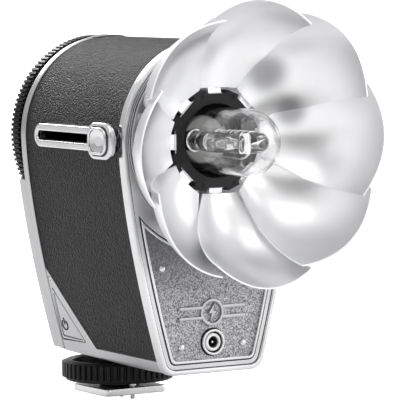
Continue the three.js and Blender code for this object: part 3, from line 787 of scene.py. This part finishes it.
def buildKnob():
    s = knobSettings
    low, high = box("slider_knob")
    outerX = low.x
    y, z = (low.y + high.y + s["wider"]) / 2 - 0.1, (low.z + high.z) / 2
    width, height = high.y - low.y + s["wider"], high.z - low.z
    padIn = s["padIn"]
    pad = plate([roundedRect(y, z, width, height, s["corner"])], outerX + 0.75, padIn, "x", s["round"], 5)
    w, h = s["rim"]
    band, corner = s["rimBand"], s["rimCorner"]
    hole = roundedRect(y, z, w - 2 * band, h - 2 * band, corner - band)
    rim = plate([roundedRect(y, z, w, h, corner), hole], outerX, outerX + 1.2, "x", 0.3, 4)
    w, h = s["dish"]
    work = bmesh.new()
    rings, steps = 10, 48
    rows = []
    for i in range(rings + 1):
        t = i / rings
        row = []
        for j in range(steps):
            angle = 2 * math.pi * j / steps
            c, d = math.cos(angle), math.sin(angle)
            reach = (abs(c) ** 3 + abs(d) ** 3) ** (-1 / 3)  # squarish
            dy, dz = reach * c * t * w / 2, reach * d * t * h / 2
            depth = 0.5 * (1 - t * t) + 0.35
            row.append(work.verts.new(((outerX + depth) * mm, (y + dy) * mm, (z + dz) * mm)))
        rows.append(row)
    for near, far in zip(rows, rows[1:]):
        bridge(work, near, far)
    bmesh.ops.remove_doubles(work, verts=work.verts, dist=weldGap)
    bmesh.ops.recalc_face_normals(work, faces=work.faces)
    if sum(f.normal.x for f in work.faces) > 0:
        bmesh.ops.reverse_faces(work, faces=work.faces)
    dish = meshOf(work, "dish")
    neck = plate([roundedRect(*s["neck"])], padIn - 0.4, s["neckIn"], "x", 0.1)
    made = joined(pad, rim, dish, neck)
    addPiece("knob_cap", made, "bright", "carriage", ["slider_knob"])
    w, h = s["rim"]
    loops = [roundedRect(y, z, w + 0.7, h + 0.7, corner + 0.3), roundedRect(y, z, w - 0.6, h - 0.6, 2.2)]
    seam = plate(loops, outerX + 0.62, outerX + 1.1, "x", 0.1)
    addPiece("knob_seam", seam, "ink", "carriage")


keySettings = {
    "middle": (20.2 - 26.5, 19.6),
    "corners": ((2.4, 9.4), (3.3, -4.6), (-8.7, -4.6)),
    "centre": (0, -1.2),
    "grow": 1.9,
    "sign": (0.3, -0.6),
    "signR": (1.55, 1.12),
    "bar": (0.3, 0.45, 0.42, 2.0, 0.2, 4),
}


# the triangular key lies on the slanted flank, in that flank's own plane
def buildPowerButton():
    s = keySettings
    y0, z0 = s["middle"]
    tilt = math.atan(flankSlope(z0))
    inset = 0.35
    flank = Matrix.Translation((-flankAt(z0, inset), y0, z0)) @ Matrix.Rotation(-tilt, 4, "Y")
    middle = Vector(s["centre"])

    def grown(amount):
        result = []
        for corner in s["corners"]:
            away = Vector(corner) - middle
            p = middle + away * (1 + amount * s["grow"] / away.length)
            result.append((p.x, p.y))
        return result

    outer = rounded(grown(0), 0.7)
    border = rounded(grown(-0.5), 0.6)
    inner = rounded(grown(-0.72), 0.6)
    rim = plate([outer, border], -0.12, 1.6, "x", 0.1)
    face = plate([inner], -0.02, 1.6, "x", 0.12)
    back = plate([rounded(grown(-0.1), 0.7)], 0.35, 1.9, "x", 0.05)
    start, stop = math.radians(125), math.radians(415)
    ring = arc(*s["sign"], s["signR"][0], start, stop, 40)
    ringIn = arc(*s["sign"], s["signR"][1], stop, start, 40)
    icon = plate([ring + ringIn], -0.14, 0.1, "x", 0.05)
    bar = plate([roundedRect(*s["bar"])], -0.14, 0.1, "x", 0.05)
    key = joined(rim, face, back)
    sign = joined(icon, bar)
    for mesh in (key, sign):
        mesh.transform(Matrix.Scale(mm, 4) @ flank @ Matrix.Scale(1 / mm, 4))
    addPiece("power_key_cap", key, "satin", "power_key", ["power_button"])
    addPiece("power_key_sign", sign, "ink", "power_key")
    low, high = box("status_led")
    centre = (low + high) / 2
    lens = turned([(0, 0), (0.25, 0.03), (0.42, 0.16), (0.42, 1.2), (0, 1.2)], (0, 0), steps=24, radius=0.04)
    turn = Matrix.Rotation(math.pi / 2, 4, "Z")
    lens.transform(Matrix.Translation((low.x * mm - 0.00005, centre.y * mm, centre.z * mm)) @ turn.inverted())
    addPiece("status_lens", lens, "clear", "case", ["status_led"])


buildCase()
buildSlotTrim()
buildKnob()
buildPowerButton()
print("case built")


rearSettings = {
    "rim": 1.6,
    "groove": 0.14,
    "sill": 3.9,
    "tab": (9.4, 16.7),  # how far its arc's middle is above the head's, and the arc's radius
    "coverRound": 0.55,
    "coverInset": 0.4,
    "coverR": 26.2,
    "testHole": 3.2,
    "lampHole": 1.5,
    "portHole": (10, 4.4, 2.1),
}


# keeps an outline above the case's rising underside
def belowUnderside(points, y):
    floor = baseZ + caseShape["slope"] * (y - bezelLow.y) + 0.12
    return [(x, max(z, floor)) for x, z in points]


def buildRear():
    s = rearSettings
    low, high = box("rear_rim")
    middle = low.y + 0.52 * (high.y - low.y)
    outline = belowUnderside(caseOutline(0), high.y)
    hole = belowUnderside([(x, z + 0.02) for x, z in caseOutline(s["rim"])], high.y + 30)
    hole = [(x, max(z, baseZ + s["sill"])) for x, z in hole]
    fore = plate([outline, hole], low.y, middle, bevel=0.3, rings=3)
    shrunk = belowUnderside(caseOutline(0.18), high.y)
    core = plate([belowUnderside(caseOutline(0.5), high.y), hole], middle - 0.3, middle + 0.4, bevel=0.05)
    aft = plate([shrunk, hole], middle + s["groove"], high.y, bevel=0.3, rings=3)
    addPiece("rear_band", joined(fore, core, aft), "satin", "case", ["rear_rim"])
    dress("rear_plate", "black", 30)
    low, high = box("index_tab")
    rise, tabR = s["tab"]
    tabTop = arc(0, headZ + rise, tabR, math.pi * 0.58, math.pi * 0.42, 24)
    tab = arc(0, headZ, headR + 0.02, math.pi * 0.44, math.pi * 0.56, 24) + tabTop
    addPiece("index_lug", plate([tab], low.y, high.y, bevel=0.03, rings=2), "bright", "case", ["index_tab"])

    low, high = box("rear_cover")
    top = high.z
    side = lowerFlank(s["coverInset"], top)
    angle = math.asin((top - headZ) / s["coverR"])
    outline = side + arc(0, headZ, s["coverR"], angle, -math.pi - angle, 60) + mirrored(side)
    outline = belowUnderside(outline, high.y)
    test, lamp, port = box("test_button"), box("ready_lamp"), box("charge_port")
    testAt, lampAt, portAt = (middleOf(n) for n in ("test_button", "ready_lamp", "charge_port"))
    holes = [circle(*testAt, s["testHole"]), circle(*lampAt, s["lampHole"], 36)]
    holes.append(roundedRect(*portAt, *s["portHole"]))
    cover = plate([outline, *holes], low.y, high.y, bevel=s["coverRound"], rings=4)
    addPiece("rear_lid", cover, "satin", "case", ["rear_cover"])
    low, high = port
    loops = [roundedRect(*portAt, 9.4, 3.8, 1.8), roundedRect(*portAt, 8.4, 2.8, 1.35)]
    shell = plate(loops, low.y, high.y, bevel=0.12)
    tongue = plate([roundedRect(*portAt, 6.4, 0.7, 0.2, 3)], low.y + 0.4, high.y - 0.8, bevel=0.06)
    floor = plate([roundedRect(*portAt, 9.2, 3.6, 1.7)], low.y - 0.02, low.y + 0.5, bevel=0.05)
    addPiece("port_shell", joined(shell, floor), "steel", "case", ["charge_port"])
    addPiece("port_tongue", tongue, "ink", "case")
    low, high = lamp
    r, top = (high.x - low.x) / 2, high.y
    lens = [(0, top), (0.5, top - 0.05), (0.95, top - 0.3), (r, top - 0.8), (r, low.y), (0, low.y)]
    addPiece("ready_lens", turned(lens, lampAt, steps=36, radius=0.1), "amber", "case", ["ready_lamp"])
    low, high = test
    r, top = (high.x - low.x) / 2, high.y
    cap = [(0, top - 0.22), (r * 0.55, top - 0.14), (r - 0.35, top), (r, top - 0.4), (r, low.y), (0, low.y)]
    addPiece("test_cap", turned(cap, testAt, radius=0.25), "red", "test_key", ["test_button"])
    for hand in ("left", "right"):
        buildScrew("cover_screw_" + hand, "screw_" + hand, "case", cross=True)


# a low domed screw head with a sunk slot or cross
def buildScrew(node, name, body, cross, finish="steel"):
    low, high = box(node)
    centre = middleOf(node)
    r, back, front = (high.x - low.x) / 2, low.y, high.y
    depth = (front - back) * 0.5
    reach, half = r * 0.62, r * (0.13 if cross else 0.12)
    if cross:
        slot = [(-reach, -half), (-half, -half), (-half, -reach)]
        slot += [(half, -reach), (half, -half), (reach, -half)]
        slot += [(-x, -z) for x, z in slot]
    else:
        reach *= 1.15
        slot = [(-reach, -half), (reach, -half), (reach, half), (-reach, half)]
    hole = [(centre[0] + x, centre[1] + z) for x, z in slot]
    head = plate([circle(*centre, r), hole], back, front, bevel=min(0.3, 0.3 * (front - back)), rings=4)
    floor = plate([circle(*centre, r * 0.8, 36)], back, front - depth, bevel=0.02)
    addPiece(name, joined(head, floor), finish, body, [node])


dialSettings = {
    "numbers": ("1", "2", "4", "8", "16", "32"),
    "size": 3.0,
    "radius": 13.4,
    "teeth": 120,
    "tooth": 0.55,
    "longTick": (16.2, 0.16),  # inner radius and half width
    "shortTick": (17.4, 0.09),
    "tickEnd": 18.6,
}


def buildDial():
    s = dialSettings
    low, high = box("dial_ring")
    outer, root = high.x, high.x - s["tooth"]
    teeth = []
    for i in range(s["teeth"]):
        middle = 2 * math.pi * i / s["teeth"]
        for turn, r in ((-0.012, outer), (0.012, outer), (0.02, root), (0.032, root)):
            teeth.append((r * math.cos(middle + turn), headZ + r * math.sin(middle + turn)))
    backY = low.y + 1.2
    edge = plate([teeth, circle(0, headZ, 20.8, 96)], backY, high.y, bevel=0.08, rings=2)
    hub = [(3, low.y + 0.1), (24.9, low.y + 0.1), (24.9, backY + 0.3), (21.2, backY + 0.35)]
    hub += [(3, backY + 0.35), (3, low.y + 0.1)]
    lip = [(20.5, backY + 0.3), (20.5, high.y - 0.1), (20.8, high.y + 0.12), (22.6, high.y + 0.12),
           (23.3, high.y - 0.1), (23.3, backY + 0.3), (20.5, backY + 0.3)]
    ring = joined(edge, turned(hub, (0, headZ), steps=96), turned(lip, (0, headZ), steps=96, radius=0.2))
    addPiece("dial_rim", ring, "dial", "dial", ["dial_ring"])
    mark = plate([roundedRect(0, headZ + 21.9, 0.6, 1.6, 0.25, 4)], high.y, high.y + 0.2, bevel=0.04)
    addPiece("dial_pointer", mark, "white", "dial")

    low, high = box("dial_face")
    faceY = high.y - 0.3
    disc = [(0, faceY), (19.2, faceY), (20.2, faceY - 0.35), (20.2, faceY - 0.9), (2.7, faceY - 0.9),
            (2.7, low.y), (0, low.y)]
    disc = turned(disc, (0, headZ), steps=96, radius=0.12)
    addPiece("dial_disc", disc, "satin", "case", ["dial_face"])
    marks = []
    for i in range(36):
        angle = math.pi / 2 + i * math.pi / 18
        inner, half = s["longTick"] if i % 3 == 0 else s["shortTick"]
        along = Vector((math.cos(angle), math.sin(angle)))
        across = Vector((-along.y, along.x)) * half
        near, far = along * inner, along * s["tickEnd"]
        corners = [near - across, far - across, far + across, near + across]
        outline = [(p.x, headZ + p.y) for p in corners]
        marks.append(plate([outline], faceY - 0.05, faceY + 0.06, bevel=0.02, rings=1))
    addPiece("dial_marks", joined(*marks), "ink", "case")
    buildNumbers(faceY)
    buildScrew("dial_screw", "dial_bolt", "case", cross=False, finish="bright")


# plain numerals round the scale, read from behind
def buildNumbers(faceY):
    s = dialSettings
    meshes = []
    for i, word in enumerate(s["numbers"]):
        angle = math.pi / 2 - i * 2 * math.pi / len(s["numbers"])
        text = bpy.data.curves.new("number", "FONT")
        text.body = word
        text.size = s["size"]
        text.align_x, text.align_y = "CENTER", "CENTER"
        text.extrude = 0.05
        holder = bpy.data.objects.new("number", text)
        mesh = bpy.data.meshes.new_from_object(holder)
        bpy.data.objects.remove(holder)
        x, z = -s["radius"] * math.cos(angle), headZ + s["radius"] * math.sin(angle)
        facing = Matrix(((-1, 0, 0), (0, 0, 1), (0, 1, 0))).to_4x4()
        mesh.transform(Matrix.Scale(mm, 4) @ Matrix.Translation((x, faceY + 0.04, z)) @ facing)
        meshes.append(mesh)
    addPiece("dial_numbers", joined(*meshes), "ink", "case", weighted=False)


buildRear()
buildDial()
print("back built")


footSettings = {"ribs": 52, "rib": 0.6, "round": 0.22}


def buildFoot():
    s = footSettings
    low, high = box("shoe_foot")
    y = (low.y + high.y) / 2
    contact, pin = box("contact_pin"), box("locking_pin")
    contactY, pinY = (contact[0].y + contact[1].y) / 2, (pin[0].y + pin[1].y) / 2
    outline = roundedRect(0, y, high.x - low.x, high.y - low.y, 1.3, 8)
    loops = [outline, circle(0, contactY, 2.6, 48), circle(0, pinY, 0.9, 32)]
    addPiece("foot_plate", plate(loops, low.z, high.z, "z", s["round"]), "steel", "case", ["shoe_foot"])
    bottom = box("shoe_stem")[0].z
    stem = [(1.2, bottom + 0.02), (5.4, bottom + 0.02), (5.4, 8.6), (5.9, 9.0)]
    stem += [(7.8, 9.3), (7.8, 10.4), (1.2, 10.4)]
    addPiece("stem_post", turned(stem, (0, y), "z", radius=0.3), "black", "case", ["shoe_stem"])
    low, high = box("contact_insulator")
    seat = [(0.95, low.z + 0.02), (2.5, low.z + 0.02), (2.5, high.z), (0.95, high.z), (0.95, low.z + 0.02)]
    seat = turned(seat, (0, contactY), "z", radius=0.1)
    addPiece("contact_seat", seat, "black", "case", ["contact_insulator"])
    low, high = contact
    tip = [(0, low.z), (0.3, low.z + 0.04), (0.58, low.z + 0.25), (0.72, low.z + 0.65)]
    tip = turned([*tip, (0.72, high.z), (0, high.z)], (0, contactY), "z", 32, radius=0.05)
    addPiece("contact_tip", tip, "steel", "shoe_contact", ["contact_pin"])
    low, high = pin
    peg = [(0, low.z), (0.42, low.z), (0.56, low.z + 0.2), (0.56, 2.1), (1.05, 2.1)]
    peg = turned([*peg, (1.05, high.z), (0, high.z)], (0, pinY), "z", 32, radius=0.06)
    addPiece("lock_peg", peg, "steel", "shoe_lock", ["locking_pin"])
    buildWheel(y)


def buildWheel(y):
    s = footSettings
    low, high = box("lock_wheel")
    outer = high.x
    ribs = []
    for i in range(s["ribs"]):
        middle = 2 * math.pi * i / s["ribs"]
        for turn, r in ((-0.036, outer - 0.12), (-0.026, outer), (0.026, outer), (0.036, outer - 0.12),
                        (0.05, outer - s["rib"]), (0.071, outer - s["rib"])):
            ribs.append((r * math.cos(middle + turn), y + r * math.sin(middle + turn)))
    rim = plate([ribs, circle(0, y, 12.8, 96)], low.z + 0.9, high.z - 0.5, "z", 0.1, 2)
    body = [(5.9, low.z + 2.3), (12.2, low.z + 2.3), (12.4, low.z + 0.25), (12.9, low.z), (14.3, low.z)]
    body += [(14.6, low.z + 0.9), (14.6, high.z - 0.5), (14.1, high.z), (13.1, high.z)]
    body += [(12.7, high.z - 0.4), (12.5, high.z - 2.5), (5.9, high.z - 2.5), (5.9, low.z + 2.3)]
    wheel = joined(rim, turned(body, (0, y), "z", 96, radius=0.18))
    addPiece("wheel_body", wheel, "dial", "lock_nut", ["lock_wheel"])


buildFoot()
print("foot built")


hubSettings = {
    "tooth": 1.85,
    "reach": 13.2,
    "flat": 10.2,
    "cover": 12.0,
    "dimple": 0.62,
    "dimpleAt": 12.0,
    "bore": 9.5,
    "round": 0.1,
}


def hubEdge(flat, scale=1.0):
    s = hubSettings
    eighth = math.pi / 4
    root = (flat - s["tooth"] * math.sin(eighth / 2)) / math.cos(eighth / 2)
    reach, half = s["reach"], s["tooth"]
    edge = []
    for i in range(8):
        c, d = math.cos(eighth * (i + 0.5)), math.sin(eighth * (i + 0.5))
        for r, t in ((root, -half), (reach, -half), (reach, half), (root, half)):
            edge.append((scale * (c * r - d * t), headZ + scale * (d * r + c * t)))
    return edge


def buildHub():
    s = hubSettings
    low, high = box("hub_ring")
    dimples = []
    for i in range(8):
        angle = math.pi / 4 * (i + 0.5)
        x, z = s["dimpleAt"] * math.cos(angle), headZ + s["dimpleAt"] * math.sin(angle)
        dimples.append(circle(x, z, s["dimple"], 20))
    bore = circle(0, headZ, s["bore"], 96)
    cover = plate([hubEdge(s["cover"]), bore, *dimples], low.y, low.y + 0.24, bevel=s["round"])
    under = plate([hubEdge(s["flat"], 0.995), bore], low.y + 0.2, high.y, bevel=0.05)
    addPiece("hub_teeth", joined(cover, under), "hub", "carriage", ["hub_ring"])
    low, high = box("lamp_cup")
    cup = [(0, high.y), (10.15, high.y), (10.15, low.y), (9.4, low.y), (9.3, low.y + 0.2)]
    cup += [(8.95, high.y - 1.6), (8.4, high.y - 1.25), (0, high.y - 1.2)]
    addPiece("lamp_well", turned(cup, (0, headZ), steps=96, radius=0.2), "hub", "carriage", ["lamp_cup"])
    low, high = box("lamp_base")
    seat = [(0, high.y), (6.3, high.y), (6.3, low.y + 0.6), (5.9, low.y + 0.1), (5.2, low.y), (0, low.y)]
    addPiece("lamp_seat", turned(seat, (0, headZ), steps=72, radius=0.2), "white", "carriage", ["lamp_base"])


lampSettings = {
    "wall": 0.5,
    "tubeR": 2.6,
    "legX": 3.8,
    "coilR": 2.76,
    "coilWire": 0.13,
    "coilTurns": 5,
    "coilFrom": 4.0,
}


def buildLamp():
    s = lampSettings
    low, high = box("glass_dome")
    r = high.x
    back, front = high.y, low.y
    end = front + r
    angles = [i * math.pi / 40 for i in range(21)]
    within = r - s["wall"]
    outer = [(r * math.sin(t), end - r * math.cos(t)) for t in angles]
    inner = [(within * math.sin(t), end - within * math.cos(t)) for t in angles]
    profile = [*outer, (r, back), (within, back), *reversed(inner)]
    dome = turned(profile, (0, headZ), steps=96, radius=0)
    addPiece("bulb_glass", dome, "glass", "carriage", ["glass_dome"], weighted=False, sharp=50)
    low, high = box("flash_tube")
    leg = s["legX"]
    bendY = low.y + s["tubeR"] + leg
    start = high.y
    path = [(-leg, start - (start - bendY) * i / 10, headZ) for i in range(10)]
    angles = [math.pi * i / 24 for i in range(25)]
    path += [(-leg * math.cos(t), bendY - leg * math.sin(t), headZ) for t in angles]
    path += [(leg, bendY + (start - bendY) * i / 10, headZ) for i in range(1, 11)]
    tube = swept(path, s["tubeR"], 32)
    addPiece("tube_quartz", tube, "quartz", "carriage", ["flash_tube"], weighted=False, sharp=60)
    metal = []
    for side in (-1, 1):
        x = side * leg
        rod = [(0, start - 8.6), (0.8, start - 8.4), (1.1, start - 8.0), (1.1, start - 5.4)]
        rod += [(0.45, start - 5.0), (0.45, start - 4.2), (1.05, start - 4.0), (1.05, start - 1.8)]
        rod += [(0.3, start - 1.5), (0.3, start), (0, start)]
        metal.append(turned(rod, (x, headZ), steps=24, radius=0.1))
        collar = [(2.62, start - 1.6), (2.95, start - 1.5), (3.0, start - 0.1), (2.62, start)]
        metal.append(turned(collar, (x, headZ), steps=32, radius=0.1))
    addPiece("tube_electrodes", joined(*metal), "bright", "carriage")
    coil = []
    per, first = 22, start - s["coilFrom"]
    steps = s["coilTurns"] * per
    for i in range(steps + 1):
        angle = 2 * math.pi * i / per
        y = first - (first - bendY) * i / steps
        coil.append((leg + s["coilR"] * math.cos(angle), y, headZ + s["coilR"] * math.sin(angle)))
    wire = swept(coil, s["coilWire"], 8)
    addPiece("trigger_coil", wire, "steel", "carriage", weighted=False)


buildHub()
buildLamp()
print("lamp built")


petalSettings = {
    "rootR": 13.6,
    "rootD": 0.4,
    "midR": 31.0,
    "midD": 4.0,
    "tipR": 36.0,
    "tipD": 23.7,
    "overlap": 1.6,
    "flare": -0.9,
    "round": 0.05,
    "tilt": 4.5,
    "scoop": 1.4,
    "scoopTip": 0.36,
    "thick": 0.42,
    "rows": 30,
    "columns": 28,
}
hinge = {"radius": 11.5, "y": -55.1}


# middle of the shell at share a from root to rim and v from one long edge (-1) to the other (1)
def petalPoint(a, v):
    p = petalSettings
    u = a * (1 - p["round"] * abs(v) ** 2.2 * a**3)
    k0, k1, k2 = (1 - u) ** 2, 2 * u * (1 - u), u * u
    r = k0 * p["rootR"] + k1 * p["midR"] + k2 * p["tipR"]
    d = k0 * p["rootD"] + k1 * p["midD"] + k2 * p["tipD"]
    dr = (1 - u) * (p["midR"] - p["rootR"]) + u * (p["tipR"] - p["midR"])
    dd = (1 - u) * (p["midD"] - p["rootD"]) + u * (p["tipD"] - p["midD"])
    length = math.hypot(dr, dd)
    half = 0.3827 * r + p["overlap"] * min(1, 3 * a) + p["flare"] * a
    side = v * half
    tilt = math.tan(math.radians(p["tilt"]))
    scoop = p["scoop"] + p["scoopTip"] * a
    push = side * tilt - scoop * side * side / (2 * r)
    return Vector((side, r - hinge["radius"] + push * dd / length, -(d - push * dr / length)))


def petalMesh():
    p = petalSettings
    rows, columns, half = p["rows"], p["columns"], p["thick"] / 2
    grid = {}
    for i in range(-1, rows + 2):
        for j in range(-1, columns + 2):
            a = min(max(i, 0), rows) / rows
            v = 2 * min(max(j, 0), columns) / columns - 1
            grid[i, j] = petalPoint(a, v)
    work = bmesh.new()
    sheets = []
    for face in (1, -1):
        sheet = {}
        for i in range(rows + 1):
            for j in range(columns + 1):
                along = grid[min(i + 1, rows), j] - grid[max(i - 1, 0), j]
                across = grid[i, min(j + 1, columns)] - grid[i, max(j - 1, 0)]
                normal = across.cross(along).normalized()
                sheet[i, j] = work.verts.new((grid[i, j] + face * half * normal) * mm)
        sheets.append(sheet)
    for sheet in sheets:
        for i in range(rows):
            for j in range(columns):
                corner = ((i, j), (i, j + 1), (i + 1, j + 1), (i + 1, j))
                work.faces.new([sheet[c] for c in corner])
    loop = [(0, j) for j in range(columns + 1)]
    loop += [(i, columns) for i in range(1, rows + 1)]
    loop += [(rows, j) for j in range(columns - 1, -1, -1)]
    loop += [(i, 0) for i in range(rows - 1, 0, -1)]
    near, far = sheets
    for c, d in zip(loop, loop[1:] + loop[:1]):
        work.faces.new((near[c], near[d], far[d], far[c]))
    bmesh.ops.recalc_face_normals(work, faces=work.faces)
    edges = [e for e in work.edges if len(e.link_faces) == 2 and e.calc_face_angle(0) > 0.9]
    bmesh.ops.bevel(work, geom=edges, offset=0.13 * mm, segments=2, affect="EDGES", clamp_overlap=True)
    made = meshOf(work, "petal")
    knuckle = swept([(-2.0 + 0.4 * i, 0, 0) for i in range(11)], 0.75, 20)
    tab = plate([[(-1.0, 0.3), (0.2, 0.6), (-0.25, 3.4), (-0.85, 3.4)]], -1.95, 1.95, "z", 0.08, 2)
    turn = Matrix(((0, 0, 1), (0, 1, 0), (-1, 0, 0))).to_4x4()
    tab.transform(turn)
    return joined(made, knuckle, tab)


def buildPetals():
    shape = petalMesh()
    for i in range(8):
        angle = math.pi / 2 - i * math.pi / 4
        c, d = math.cos(angle), math.sin(angle)
        columns = Matrix(((-d, c, 0), (0, 0, 1), (c, d, 0))).to_4x4()
        place = Vector((c * hinge["radius"], hinge["y"], headZ + d * hinge["radius"])) * mm
        mesh = shape.copy()
        mesh.transform(Matrix.Translation(place) @ columns)
        name = f"petal_{i + 1}"
        addPiece(name + "_leaf", mesh, "petal", "reflector_" + name, [name], weighted=False, sharp=40)
    bpy.data.meshes.remove(shape)


buildPetals()
print("petals built")


cameraSettings = {
    "place": (-0.455820, -0.782908, 0.119349),
    "right": (0.84940457, -0.52760758, -0.01192083),
    "up": (0.04998886, 0.05795006, 0.99706715),
    "ahead": (0.52536938, 0.84750931, -0.07559755),
    "lens": 304.416,
}


def makeCamera():
    s = cameraSettings
    data = bpy.data.cameras.new("camera")
    data.sensor_width = 36
    data.lens = s["lens"]
    data.clip_start = 0.01
    data.clip_end = 50
    made = inScene("camera", data)
    turn = Matrix((s["right"], s["up"], [-c for c in s["ahead"]])).transposed().to_4x4()
    made.matrix_world = Matrix.Translation(s["place"]) @ turn
    bpy.context.scene.camera = made


def makeFloor():
    work = bmesh.new()
    size, z = 12.0, cadLow.z - 0.0001
    corners = ((-1, -1), (1, -1), (1, 1), (-1, 1))
    work.faces.new([work.verts.new((x * size, y * size, z)) for x, y in corners])
    mesh = meshOf(work, "floor")
    made = inScene("floor", mesh)
    g = Graph("white_floor")
    seen = g.node("ShaderNodeLightPath")
    mesh.materials.append(
        g.surface(
            {
                "Base Color": (0.8, 0.8, 0.8),
                "Roughness": 0.9,
                "Specular IOR Level": 0.0,
                "Emission Color": g.mix(seen, (0.12, 0.12, 0.12), (1.0, 1.0, 1.0)),
                "Emission Strength": 1.0,
            }
        )
    )


worldSettings = {"low": 0.46, "high": 0.9, "front": 0.35, "frontWay": (-0.53, -0.84, 0.08)}


def makeWorld():
    s = worldSettings
    world = bpy.data.worlds.new("studio")
    bpy.context.scene.world = world
    world.use_nodes = True
    tree = world.node_tree
    tree.nodes.clear()

    def add(kind, settings=None, values=None):
        made = tree.nodes.new(kind)
        for key, value in (settings or {}).items():
            setattr(made, key, value)
        for key, value in (values or {}).items():
            if isinstance(value, bpy.types.NodeSocket):
                tree.links.new(value, made.inputs[key])
            else:
                made.inputs[key].default_value = value
        return made

    way = add("ShaderNodeTexCoord").outputs["Generated"]
    parts = add("ShaderNodeSeparateXYZ", None, {0: way})
    smooth = {"interpolation_type": "SMOOTHSTEP"}
    values = {"From Min": -0.1, "From Max": 0.7, "To Min": s["low"], "To Max": s["high"]}
    up = add("ShaderNodeMapRange", smooth, {"Value": parts.outputs["Z"], **values})
    toward = add("ShaderNodeVectorMath", {"operation": "DOT_PRODUCT"}, {0: way, 1: s["frontWay"]})
    values = {"From Min": 0.8, "From Max": 0.99, "To Min": 1.0, "To Max": s["front"]}
    dark = add("ShaderNodeMapRange", smooth, {"Value": toward.outputs["Value"], **values})
    level = add("ShaderNodeMath", {"operation": "MULTIPLY"}, {0: up.outputs[0], 1: dark.outputs[0]})
    seen = add("ShaderNodeLightPath")
    soft = add("ShaderNodeBackground", None, {"Color": (1, 1, 1, 1), "Strength": level.outputs[0]})
    plain = add("ShaderNodeBackground", None, {"Color": (1, 1, 1, 1), "Strength": 1.0})
    both = add("ShaderNodeMixShader", None,
               {0: seen.outputs["Is Camera Ray"], 1: soft.outputs[0], 2: plain.outputs[0]})
    add("ShaderNodeOutputWorld", None, {"Surface": both.outputs[0]})


lightSettings = {  # where each soft box stands, its size and power; all face the object
    "left_box": {"way": (-0.86, -0.30, 0.34), "far": 0.9, "size": (0.3, 0.5), "power": 0.3},
    "back_box": {"way": (0.06, 0.83, 0.56), "far": 1.0, "size": (0.4, 0.35), "power": 3.4},
    "right_back_box": {"way": (0.86, 0.45, 0.15), "far": 1.0, "size": (0.6, 0.8), "power": 2.0},
    "right_box": {"way": (0.82, -0.48, 0.30), "far": 1.0, "size": (0.6, 0.9), "power": 3.0},
    "front_box": {"way": (0.30, -0.95, 0.10), "far": 1.2, "size": (0.7, 0.7), "power": 2.0},
    "top_box": {"way": (-0.1, -0.35, 1.0), "far": 0.9, "size": (0.7, 0.7), "power": 1.6},
}


def makeLights():
    centre = (cadLow + cadHigh) / 2
    for name, s in lightSettings.items():
        data = bpy.data.lights.new(name, "AREA")
        data.shape = "RECTANGLE"
        data.size, data.size_y = s["size"]
        data.energy = s["power"]
        made = inScene(name, data)
        way = Vector(s["way"]).normalized()
        made.location = centre + way * s["far"]
        made.rotation_mode = "QUATERNION"
        made.rotation_quaternion = (-way).to_track_quat("-Z", "Y")
        made.visible_camera = False


makeCamera()
makeFloor()
makeWorld()
makeLights()
view = bpy.context.scene.view_settings
view.view_transform = "Standard"
view.look = "None"
print("stage set")
